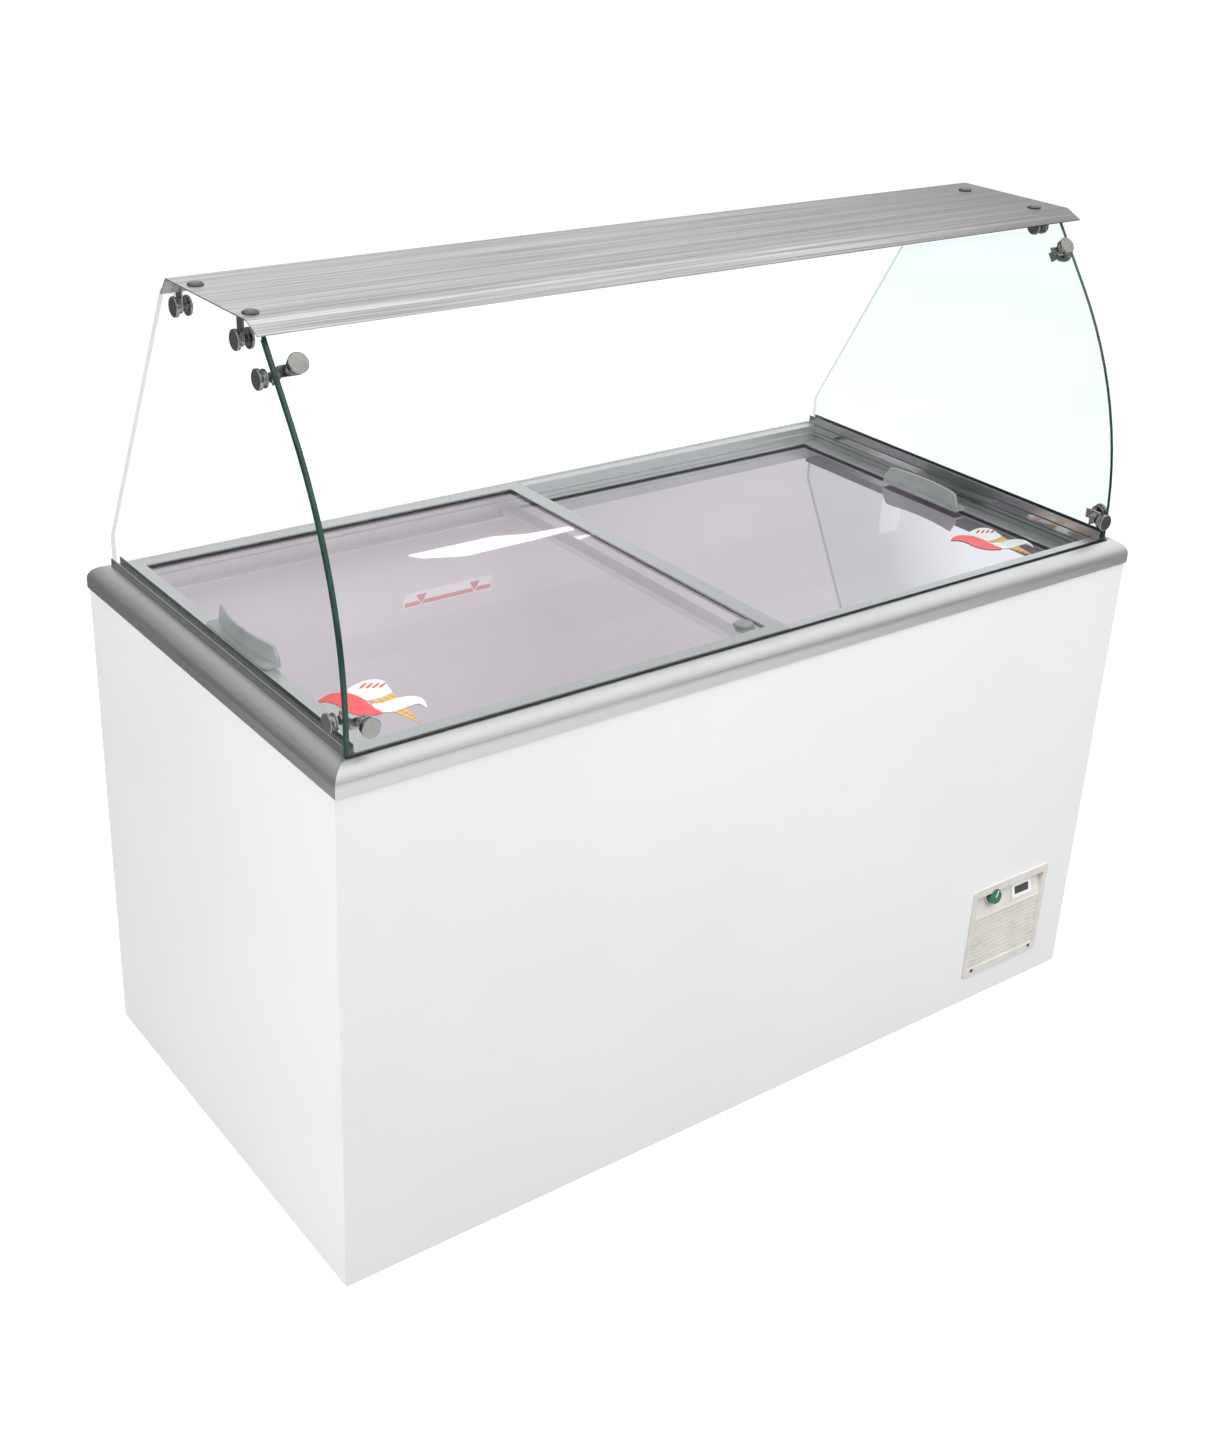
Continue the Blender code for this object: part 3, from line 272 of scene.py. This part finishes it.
def flat_pane_edges(s, outside):
    """All four edges of a level glass."""
    return s.math("MULTIPLY", outside, s.math("SUBTRACT", 1.0, s.facing("Z", 0.5)))


def liner_enamel():
    s = Shader("liner_enamel", (0.80, 0.78, 0.81), 0.40)
    s.link(s.colours(s.noise(5.0, 4.0), (0.3, (0.68, 0.64, 0.67)), (0.7, (0.76, 0.71, 0.75))),
           s.principled.inputs["Base Color"])
    s.bump(s.noise(40.0, 2.0), 0.01, 0.0002)
    return s.material


def insulation():
    s = Shader("rigid_foam", (0.80, 0.70, 0.42), 0.9)
    s.link(s.colours(s.noise(40.0, 5.0), (0.3, (0.70, 0.58, 0.32)), (0.7, (0.86, 0.77, 0.50))),
           s.principled.inputs["Base Color"])
    s.bump(s.noise(500.0, 4.0), 0.5, 0.001)
    return s.material


def galvanised():
    s = Shader("galvanised_steel", (0.55, 0.56, 0.57), 0.42, 0.9)
    grain = s.node("ShaderNodeTexVoronoi")
    grain.inputs["Scale"].default_value = 70.0
    s.link(s.place(), grain.inputs["Vector"])
    s.link(s.colours(grain.outputs["Distance"], (0.0, (0.62, 0.63, 0.65)), (0.9, (0.42, 0.43, 0.45))),
           s.principled.inputs["Base Color"])
    s.link(s.spread(s.noise(30.0), 0.35, 0.55), s.principled.inputs["Roughness"])
    return s.material


def handle_plastic():
    s = Shader("smoke_plastic", (0.30, 0.30, 0.30), 0.28)
    s.link(s.colours(s.noise(30.0, 3.0), (0.3, (0.31, 0.31, 0.31)), (0.7, (0.37, 0.37, 0.37))),
           s.principled.inputs["Base Color"])
    s.set("Coat Weight", 0.8)
    s.bump(s.noise(900.0, 2.0), 0.03, 0.0002)
    return s.material


def moulded(name, colour, roughness, spread=0.06, grain=1100.0, coat=0.0):
    """Moulded plastic with a fine grain and slight changes of tone."""
    s = Shader(name, colour, roughness)
    dark = tuple(max(c * (1 - spread), 0) for c in colour)
    light = tuple(min(c * (1 + spread), 1) for c in colour)
    s.link(s.colours(s.noise(25.0, 3.0), (0.3, dark), (0.7, light)), s.principled.inputs["Base Color"])
    s.link(s.spread(s.noise(120.0, 3.0), roughness * 0.85, roughness * 1.15),
           s.principled.inputs["Roughness"])
    s.bump(s.noise(grain, 2.0), 0.10, 0.0002)
    s.set("Coat Weight", coat)
    return s.material


def make_materials():
    return {
        "enamel": white_enamel(),
        # painted light and shade: the front and rear rims get a lighter copy of the aluminium, the left rim a
        # darker copy
        "rim_x": drawn_metal("satin_aluminium_x_lit", (0.91, 0.91, 0.905), 0.44, (0.02, 1, 1), 0.04),
        "rim_y": drawn_metal("satin_aluminium_y_shaded", (0.66, 0.66, 0.655), 0.46, (1, 0.02, 1), 0.05),
        "rim_right": drawn_metal("polished_steel_y", (0.50, 0.505, 0.505), 0.13, (1, 0.01, 1), 0.03, 0.01),
        "channel": drawn_metal("drawn_steel_y", (0.50, 0.505, 0.505), 0.24, (1, 0.01, 1), 0.02, 0.01),
        "lid_metal": drawn_metal("satin_aluminium_lid", (0.80, 0.80, 0.80), 0.42, (1, 0.03, 1), 0.04),
        "shelf": brushed_shelf(),
        "chrome": chrome("polished_steel", (0.46, 0.46, 0.44), 0.15),
        # painted shade: a darker copy of the polished steel, used on the cap bolts
        "shaded_chrome": chrome("polished_steel_painted_shade", (0.20, 0.20, 0.20), 0.12),
        "front_glass": pane("canopy_glass_front", (0.977, 1.0, 0.998), (0.97, 0.98, 0.98), 0.0,
                            bent_pane_edges),
        "side_glass": pane("canopy_glass_side", (0.977, 1.0, 0.998), (0.97, 0.98, 0.98), 0.0,
                           upright_pane_edges),
        "left_lid_glass": pane("lid_glass_left", (0.930, 0.905, 0.920), (0.98, 0.915, 0.95), 0.38,
                               flat_pane_edges),
        # painted shade: the right lid's glass gets a darker tint than the left lid's, dimming what shows through
        # it
        "right_lid_glass": pane("lid_glass_right_shaded", (0.870, 0.840, 0.865), (0.97, 0.905, 0.955), 0.70,
                                flat_pane_edges),
        "liner": liner_enamel(),
        "foam": insulation(),
        "galvanised": galvanised(),
        "smoke": handle_plastic(),
        "cream": moulded("cream_plastic", (0.72, 0.695, 0.655), 0.45),
        "bezel": moulded("white_bezel", (0.90, 0.89, 0.88), 0.35),
        "lock": moulded("lock_plastic", (0.20, 0.20, 0.20), 0.30, coat=0.4),
        "green": moulded("green_plastic", (0.005, 0.13, 0.055), 0.25, coat=0.4),
        "black_enamel": moulded("black_enamel", (0.015, 0.015, 0.016), 0.30, grain=600.0, coat=0.3),
        "rubber": moulded("black_rubber", (0.018, 0.018, 0.018), 0.65, grain=1500.0),
        "white_print": moulded("white_film", (0.74, 0.73, 0.73), 0.12, grain=300.0, coat=0.5),
        "red_print": moulded("red_film", (0.72, 0.040, 0.045), 0.22, grain=300.0, coat=0.4),
        "lcd": moulded("dark_window", (0.012, 0.016, 0.018), 0.12, coat=0.8),
    }


def paint_cad_nodes(mats):
    """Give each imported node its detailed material."""
    by_name = {
        "rim_front": "rim_x", "rim_rear": "rim_x", "rim_left": "rim_y", "rim_right": "rim_right",
        "glass_channel_left": "channel", "glass_channel_right": "channel",
        "left_lid_frame": "lid_metal", "right_lid_frame": "lid_metal",
        "front_glass": "front_glass", "side_glass_left": "side_glass", "side_glass_right": "side_glass",
        "left_lid_glass": "left_lid_glass", "right_lid_glass": "right_lid_glass",
        "lid_lock": "lock", "thermometer": "bezel",
    }
    by_slot = {
        "white_steel": "enamel", "stainless": "shelf", "chrome": "chrome", "liner_white": "liner",
        "foam": "foam", "zinc_steel": "galvanised", "grey_plastic": "smoke", "cream_plastic": "cream",
        "green_plastic": "green", "black_paint": "black_enamel", "black_rubber": "rubber",
    }
    slots = {entry["node"]: entry["material_slot"] for entry in frame["record"]["subparts"]}
    for name, node in NODES.items():
        # the cap bolts take the darker copy of the polished steel, which paints shade on them
        key = "shaded_chrome" if name.startswith("cap_bolt") else by_name.get(name) or by_slot[slots[name]]
        for index in range(max(len(node.material_slots), 1)):
            if not node.material_slots:
                node.data.materials.append(mats[key])
            node.material_slots[index].material = mats[key]


# ---- mesh helpers for the trim ------------------------------------------------------------------
def finish_piece(name, bm, materials, body, smooth_angle=30):
    bmesh.ops.recalc_face_normals(bm, faces=bm.faces)
    mesh = bpy.data.meshes.new(name)
    bm.to_mesh(mesh)
    bm.free()
    for material in materials:
        mesh.materials.append(material)
    mesh.shade_smooth()
    mesh.set_sharp_from_angle(angle=math.radians(smooth_angle))
    obj = bpy.data.objects.new(name, mesh)
    bpy.context.scene.collection.objects.link(obj)
    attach(obj, body)
    return obj


def add_plate(bm, outline, bottom, top, matrix=Matrix.Identity(4), material_index=0):
    """A flat plate from a 2-D outline, between two heights, placed by a matrix."""
    rings = [[bm.verts.new(matrix @ Vector((x, y, z))) for x, y in outline] for z in (bottom, top)]
    count = len(outline)
    faces = [bm.faces.new(rings[0][::-1]), bm.faces.new(rings[1])]
    for i in range(count):
        j = (i + 1) % count
        faces.append(bm.faces.new((rings[0][i], rings[0][j], rings[1][j], rings[1][i])))
    for face in faces:
        face.material_index = material_index


def add_revolved(bm, profile, segments, matrix, material_index=0):
    """A turned solid about local +Z; points of radius 0 close it."""
    rings = []
    for radius, height in profile:
        count = 1 if radius == 0 else segments
        rings.append([bm.verts.new(matrix @ Vector((radius * math.cos(2 * math.pi * k / segments),
                                                    radius * math.sin(2 * math.pi * k / segments),
                                                    height))) for k in range(count)])
    for a, b in zip(rings, rings[1:]):
        for k in range(segments):
            n = (k + 1) % segments
            corners = list(dict.fromkeys((a[k % len(a)], a[n % len(a)], b[n % len(b)], b[k % len(b)])))
            bm.faces.new(corners).material_index = material_index


def rectangle_ring(bm, x0, x1, y0, y1, z0, z1, width):
    """A thin closed band standing on the inside of a rectangle."""
    loops = []
    for inset, z in ((0, z0), (0, z1), (width, z1), (width, z0)):
        loops.append([bm.verts.new((x, y, z)) for x, y in (
            (x0 + inset, y0 + inset), (x1 - inset, y0 + inset),
            (x1 - inset, y1 - inset), (x0 + inset, y1 - inset))])
    for i in range(4):
        a, b = loops[i], loops[(i + 1) % 4]
        for k in range(4):
            n = (k + 1) % 4
            bm.faces.new((a[k], a[n], b[n], b[k]))


# ---- trim ---------------------------------------------------------------------------------------
def flange_opening(node):
    """The rectangle inside a lid frame's top flange: x0, x1, y0, y1."""
    top = high(node).z
    points = [v.co for v in NODES[node].data.vertices if abs(v.co.z - top) < 1e-4]
    outer_x = [min(p.x for p in points), max(p.x for p in points)]
    outer_y = [min(p.y for p in points), max(p.y for p in points)]
    inner = [p for p in points if outer_x[0] + 1e-3 < p.x < outer_x[1] - 1e-3
             and outer_y[0] + 1e-3 < p.y < outer_y[1] - 1e-3]
    return min(p.x for p in inner), max(p.x for p in inner), min(p.y for p in inner), max(p.y for p in inner)


def make_gaskets(mats):
    """Black seals between each lid's glass and the top flange of its frame."""
    for side in ("left", "right"):
        x0, x1, y0, y1 = flange_opening(f"{side}_lid_frame")
        bm = bmesh.new()
        glass_top = high(f"{side}_lid_glass").z
        rectangle_ring(bm, x0 - SEAL_LIP, x1 + SEAL_LIP, y0 - SEAL_LIP, y1 + SEAL_LIP,
                       glass_top + FILM, glass_top + SEAL_HEIGHT, SEAL_WIDTH)
        finish_piece(f"{side}_lid_gasket", bm, [mats["rubber"]], f"{side}_lid")


def add_decal_shape(bm, outline, bottom, top, matrix, material_index):
    """A film shape with a smooth outline through the given points."""
    count = len(outline)
    smooth = []
    for i in range(count):
        a, b, c, d = (Vector(outline[(i + k) % count]) for k in (-1, 0, 1, 2))
        for t in (0.0, 0.34, 0.67):
            smooth.append(tuple(0.5 * (2 * b + (c - a) * t + (2 * a - 5 * b + 4 * c - d) * t * t
                                       + (3 * b - a - 3 * c + d) * t * t * t)))
    add_plate(bm, smooth, bottom, top, matrix, material_index)


def make_sticker(name, body, mats, left_tip, right_tip, height):
    """A plain film decal on a lid glass: a red and white wave across an ice-cream cone, one unit
    from tip to tip."""
    start = Vector((*left_tip, height))
    along = Vector((*right_tip, start.z)) - start
    length = along.length
    along.normalize()
    up = Vector((0, 0, 1))
    axes = Matrix((along, up.cross(along), up)).transposed().to_4x4()
    matrix = Matrix.Translation(start) @ axes @ Matrix.Diagonal((length, length, 1, 1))
    under, middle, over = 0.0001, 0.0005, 0.0008
    bm = bmesh.new()
    add_plate(bm, [(0.46, 0.08), (0.65, 0.28), (0.98, -0.30), (0.72, -0.12)], under, middle, matrix, 3)
    add_decal_shape(bm, [(0.23, 0.27), (0.33, 0.45), (0.44, 0.53), (0.54, 0.50), (0.60, 0.38), (0.64, 0.28),
                         (0.57, 0.18), (0.45, 0.09), (0.33, 0.15)], under, middle + 0.00002, matrix, 2)
    for k in range(4):
        x = 0.33 + 0.06 * k
        add_decal_shape(bm, [(x, 0.33 + 0.015 * k), (x + 0.04, 0.43 + 0.01 * k), (x + 0.055, 0.42 + 0.01 * k),
                             (x + 0.02, 0.32 + 0.015 * k)], middle, over, matrix, 0)
    add_decal_shape(bm, [(0.50, 0.02), (0.58, 0.045), (0.71, 0.165), (0.84, 0.22), (0.94, 0.175), (1.0, 0.0),
                         (0.92, 0.075), (0.83, 0.01), (0.74, -0.08), (0.65, -0.13), (0.55, -0.09)],
                    middle, over, matrix, 1)
    add_decal_shape(bm, [(0.0, 0.0), (0.06, 0.14), (0.14, 0.20), (0.28, 0.20), (0.41, 0.10), (0.50, -0.035),
                         (0.61, -0.145), (0.50, -0.205), (0.40, -0.205), (0.29, -0.15), (0.18, -0.03),
                         (0.08, 0.015)], middle, over + 0.0001, matrix, 0)
    scoop = moulded(f"{name}_cream", (0.70, 0.68, 0.68), 0.4)
    wafer = wafer_material(f"{name}_wafer")
    finish_piece(name, bm, [mats["red_print"], mats["white_print"], scoop, wafer], body)


def wafer_material(name):
    s = Shader(name, (0.62, 0.36, 0.12), 0.5)
    checks = s.node("ShaderNodeTexChecker")
    checks.inputs["Scale"].default_value = 160.0
    checks.inputs["Color1"].default_value = (0.66, 0.40, 0.15, 1)
    checks.inputs["Color2"].default_value = (0.50, 0.26, 0.07, 1)
    s.link(s.place(rotation=(0, 0, 0.6)), checks.inputs["Vector"])
    s.link(checks.outputs["Color"], s.principled.inputs["Base Color"])
    return s.material


def make_load_label(mats):
    """Load-limit mark on the tank's rear wall: a white strip, a red line and two outlined triangles."""
    x0, x1, z0, z1 = LABEL_X0, LABEL_X1, LABEL_Z0, LABEL_Z1
    y = LINER_REAR_Y - 4 * FILM
    upright = Matrix.Translation((0, y, 0)) @ Matrix.Rotation(math.pi / 2, 4, "X")
    bm = bmesh.new()
    add_plate(bm, [(x0, z0), (x1, z0), (x1, z1), (x0 + 0.008, z1), (x0, z1 - 0.008)],
              0.0, 2 * FILM, upright, 0)
    add_plate(bm, [(x0 + 0.002, z0 + 0.002), (x1 - 0.002, z0 + 0.002), (x1 - 0.002, z0 + 0.0090),
                   (x0 + 0.002, z0 + 0.0090)], 2 * FILM, 3 * FILM, upright, 1)
    for x in (x0 + TRIANGLE_INSET, x1 - TRIANGLE_INSET):
        add_plate(bm, [(x, z0), (x + 0.0120, z1 - 0.0030), (x - 0.0120, z1 - 0.0030)],
                  3 * FILM, 4 * FILM, upright, 0)
        add_plate(bm, [(x, z0 + 0.0030), (x + 0.0095, z1 - 0.0045), (x - 0.0095, z1 - 0.0045)],
                  4 * FILM, 5 * FILM, upright, 1)
    paper = moulded("label_paper", (0.96, 0.95, 0.95), 0.5)
    finish_piece("load_line_label", bm, [paper, mats["red_print"]], "root")


def make_stickers(mats):
    make_sticker("left_lid_decal", "left_lid", mats, (-0.6154, -0.1832), (-0.5110, -0.2652), LEFT_GLASS_TOP)
    make_sticker("right_lid_decal", "right_lid", mats, (0.5050, -0.1577), (0.5984, -0.2434),
                 RIGHT_GLASS_TOP)


def control_axes():
    """Frame of the tilted control face, read from the knob's joint."""
    joint = next(j for j in frame["joints"] if j["name"] == "thermostat_turn")
    out = Vector(joint["axis"]).normalized()
    across = Vector((1, 0, 0))
    up = out.cross(across)
    return Vector(joint["pos_m"]), Matrix((across, up, out)).transposed().to_4x4()


def make_panel_trim(mats):
    centre, axes = control_axes()
    face = Matrix.Translation(centre) @ axes
    bm = bmesh.new()
    pointing = face @ Matrix.Rotation(math.radians(-35), 4, "Z")
    add_plate(bm, [(-0.0012, -0.002), (0.0012, -0.002), (0.0012, 0.0105), (-0.0012, 0.0105)],
              KNOB_HEIGHT - FILM, KNOB_HEIGHT + 3 * FILM, pointing, 0)
    finish_piece("thermostat_pointer", bm, [mats["white_print"]], "thermostat_knob")

    up_the_face = axes @ Vector((0, 1, 0))
    gauge_z = sum(corner.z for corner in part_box("thermometer")) / 2
    on_face = centre + up_the_face * ((gauge_z - 0.0003 - centre.z) / up_the_face.z)
    window = Matrix.Translation((THERMOMETER_X, on_face.y, on_face.z)) @ axes
    bm = bmesh.new()
    half_length, half_height = WINDOW_HALF_LENGTH, WINDOW_HALF_HEIGHT
    add_plate(bm, [(-half_length, -half_height), (half_length, -half_height),
                   (half_length, half_height), (-half_length, half_height)], 0.0013, 0.0017, window, 0)
    finish_piece("thermometer_window", bm, [mats["lcd"]], "root", 20)

    for name, x in SCREW_X.items():
        bm = bmesh.new()
        seat = Matrix.Translation((x, low("control_panel").y, SCREW_Z)) @ Matrix.Rotation(math.pi / 2, 4, "X")
        add_revolved(bm, [(0, -0.001), (0.0019, -0.001), (0.0019, 0), (0.0032, 0), (0.0032, 0.0004),
                          (0.0022, 0.0010), (0, 0.0006)], 20, seat)
        finish_piece(f"panel_screw_{name}", bm, [mats["black_enamel"]], "root")


# ---- studio -------------------------------------------------------------------------------------
def make_floor():
    """White floor: lit softly by the lamps, and seen in the metal as bright in front and dark behind."""
    bm = bmesh.new()
    bmesh.ops.create_grid(bm, x_segments=1, y_segments=1, size=40.0)
    mesh = bpy.data.meshes.new("studio_floor")
    bm.to_mesh(mesh)
    bm.free()
    s = Shader("pale_floor", (0.20, 0.20, 0.20), 0.9)
    s.set("Specular IOR Level", 0.0)
    s.set("Emission Color", (1, 1, 1, 1))
    path = s.node("ShaderNodeLightPath")
    behind = s.along("Y", -0.2, 1.2)
    beside = s.along("X", 0.8, 2.2)
    away = s.math("MAXIMUM", behind, beside)
    reflected = s.math("MULTIPLY", s.math("SUBTRACT", 1.10, away), 0.45)
    seen = s.math("MULTIPLY", path.outputs["Is Camera Ray"], 0.88)
    hidden = s.math("MULTIPLY", path.outputs["Is Glossy Ray"], away)
    s.link(s.colours(hidden, (0.0, (0.20, 0.20, 0.20)), (1.0, (0.08, 0.08, 0.08))),
           s.principled.inputs["Base Color"])
    s.link(s.math("ADD", seen, s.math("MULTIPLY", path.outputs["Is Glossy Ray"], reflected)),
           s.principled.inputs["Emission Strength"])
    mesh.materials.append(s.material)
    floor = bpy.data.objects.new("studio_floor", mesh)
    bpy.context.scene.collection.objects.link(floor)


def make_card(name, corners, strength):
    """A glowing card that shows only in reflections."""
    bm = bmesh.new()
    bm.faces.new([bm.verts.new(corner) for corner in corners])
    mesh = bpy.data.meshes.new(name)
    bm.to_mesh(mesh)
    bm.free()
    s = Shader(f"{name}_glow", (0.0, 0.0, 0.0), 1.0)
    s.set("Emission Color", (1, 1, 1, 1))
    s.set("Emission Strength", strength)
    mesh.materials.append(s.material)
    card = bpy.data.objects.new(name, mesh)
    bpy.context.scene.collection.objects.link(card)
    card.visible_camera = False
    card.visible_diffuse = False
    card.visible_shadow = False


def area_light(name, position, target, size, power):
    """A soft lamp that lights surfaces and is never seen or mirrored."""
    data = bpy.data.lights.new(name, "AREA")
    data.shape = "RECTANGLE"
    data.size, data.size_y = size
    data.energy = power
    lamp = bpy.data.objects.new(name, data)
    lamp.location = position
    lamp.rotation_mode = "QUATERNION"
    lamp.rotation_quaternion = (Vector(target) - Vector(position)).to_track_quat("-Z", "Y")
    lamp.visible_camera = False
    lamp.visible_glossy = False
    bpy.context.scene.collection.objects.link(lamp)
    return lamp


def make_world():
    """Soft white overhead light, dark behind on the left and pale behind on the right; plain white
    where the camera sees it directly."""
    world = bpy.data.worlds.new("studio")
    bpy.context.scene.world = world
    world.use_nodes = True
    tree = world.node_tree
    background = tree.nodes["Background"]
    source = tree.nodes.new("ShaderNodeTexCoord")
    split = tree.nodes.new("ShaderNodeSeparateXYZ")
    tree.links.new(source.outputs["Generated"], split.inputs["Vector"])

    def ramp(socket, *stops):
        node = tree.nodes.new("ShaderNodeValToRGB")
        elements = node.color_ramp.elements
        elements[0].position, elements[0].color = stops[0][0], (*stops[0][1], 1)
        elements[1].position, elements[1].color = stops[-1][0], (*stops[-1][1], 1)
        for position, colour in stops[1:-1]:
            elements.new(position).color = (*colour, 1)
        tree.links.new(socket, node.inputs["Fac"])
        return node.outputs["Color"]

    def remap(socket, start, end):
        node = tree.nodes.new("ShaderNodeMapRange")
        node.inputs["From Min"].default_value = start
        node.inputs["From Max"].default_value = end
        tree.links.new(socket, node.inputs["Value"])
        return node.outputs["Result"]

    def mix(share, a, b):
        node = tree.nodes.new("ShaderNodeMix")
        node.data_type = "RGBA"
        tree.links.new(share, node.inputs["Factor"])
        tree.links.new(a, node.inputs["A"])
        tree.links.new(b, node.inputs["B"])
        return node.outputs["Result"]

    height = ramp(split.outputs["Z"], (0.0, (0.50, 0.50, 0.50)), (0.30, (0.62, 0.62, 0.62)),
                  (0.62, (0.86, 0.86, 0.86)), (1.0, (1.0, 1.0, 1.0)))
    rear = ramp(remap(split.outputs["X"], -0.8, 0.8),
                (0.10, (0.22, 0.22, 0.225)), (0.42, (0.36, 0.355, 0.37)),
                (0.70, (0.94, 0.93, 0.94)), (0.775, (0.72, 0.71, 0.72)), (0.835, (0.61, 0.60, 0.61)),
                (0.875, (0.70, 0.69, 0.70)), (0.925, (0.73, 0.72, 0.73)), (0.945, (1.14, 1.13, 1.15)))
    low_and_behind = tree.nodes.new("ShaderNodeMath")
    low_and_behind.operation = "MULTIPLY"
    tree.links.new(remap(split.outputs["Y"], 0.1, 0.6), low_and_behind.inputs[0])
    tree.links.new(remap(split.outputs["Z"], 0.80, 0.55), low_and_behind.inputs[1])
    low_right = tree.nodes.new("ShaderNodeMath")
    low_right.operation = "MULTIPLY"
    tree.links.new(remap(split.outputs["X"], 0.55, 0.80), low_right.inputs[0])
    tree.links.new(remap(split.outputs["Z"], 0.32, 0.16), low_right.inputs[1])
    dim = ramp(low_right.outputs[0], (0.0, (1.0, 1.0, 1.0)), (1.0, (0.30, 0.30, 0.30)))
    sky = mix(low_and_behind.outputs[0], height, rear)
    shaded = tree.nodes.new("ShaderNodeMix")
    shaded.data_type = "RGBA"
    shaded.blend_type = "MULTIPLY"
    shaded.inputs["Factor"].default_value = 1.0
    tree.links.new(sky, shaded.inputs["A"])
    tree.links.new(dim, shaded.inputs["B"])
    path = tree.nodes.new("ShaderNodeLightPath")
    plain = tree.nodes.new("ShaderNodeMix")
    plain.data_type = "RGBA"
    plain.inputs["B"].default_value = (1.0, 1.0, 1.0, 1)
    tree.links.new(path.outputs["Is Camera Ray"], plain.inputs["Factor"])
    tree.links.new(shaded.outputs["Result"], plain.inputs["A"])
    tree.links.new(plain.outputs["Result"], background.inputs["Color"])
    background.inputs["Strength"].default_value = 1.0


def make_lights():
    area_light("overhead", (0.2, -1.2, 4.2), (0, 0, 0.6), (3.5, 2.5), 62)
    area_light("front_fill", (0.8, -2.5, 2.3), (0.3, -0.3, 0.7), (3.4, 1.8), 50)
    area_light("left_fill", (-4.0, -0.6, 2.4), (0, 0, 0.6), (2.0, 2.0), 110)
    area_light("rear_fill", (0.6, 4.0, 2.2), (0, 0.35, 0.4), (3.0, 2.0), 90)
    area_light("tank_fill", (0, 0, 0.715), (0, 0, 0), (1.15, 0.48), 2.3)
    make_card("rear_window",
              [(-3.58, 4.0, 2.3), (-3.44, 4.0, 2.3), (-3.44, 4.0, 3.0), (-3.58, 4.0, 3.0)], 2.6)
    make_card("far_window",
              [(2.03, 4.0, 2.602), (2.45, 4.0, 2.604), (2.62, 4.0, 2.627), (3.02, 4.0, 2.642),
               (2.91, 4.0, 2.654), (2.65, 4.0, 2.661), (2.31, 4.0, 2.662), (2.10, 4.0, 2.629)], 2.4)


def make_camera():
    data = bpy.data.cameras.new("camera")
    data.sensor_width = 36.0
    data.lens = 46.31
    data.shift_x = 0.0173
    data.shift_y = -0.0278
    data.clip_start = 0.05
    data.clip_end = 100.0
    camera = bpy.data.objects.new("camera", data)
    forward = Vector((0.542426, 0.717385, -0.437188)).normalized()
    right = forward.cross(Vector((0, 0, 1))).normalized()
    up = right.cross(forward)
    roll = math.radians(2.514)
    right, up = (right * math.cos(roll) + up * math.sin(roll), up * math.cos(roll) - right * math.sin(roll))
    turn = Matrix((right, up, -forward)).transposed().to_4x4()
    camera.matrix_world = Matrix.Translation((-1.55286, -1.94888, 1.77351)) @ turn
    bpy.context.scene.collection.objects.link(camera)
    bpy.context.scene.camera = camera


def smooth_cad_nodes():
    """Shade the bent and turned faces smoothly and keep the real edges sharp."""
    for node in NODES.values():
        node.data.shade_smooth()
        node.data.set_sharp_from_angle(angle=math.radians(28))


def main():
    bpy.context.scene.view_settings.view_transform = "Standard"
    mats = make_materials()
    paint_cad_nodes(mats)
    smooth_cad_nodes()
    make_gaskets(mats)
    make_stickers(mats)
    make_load_label(mats)
    make_panel_trim(mats)
    make_floor()
    make_world()
    make_lights()
    make_camera()


main()
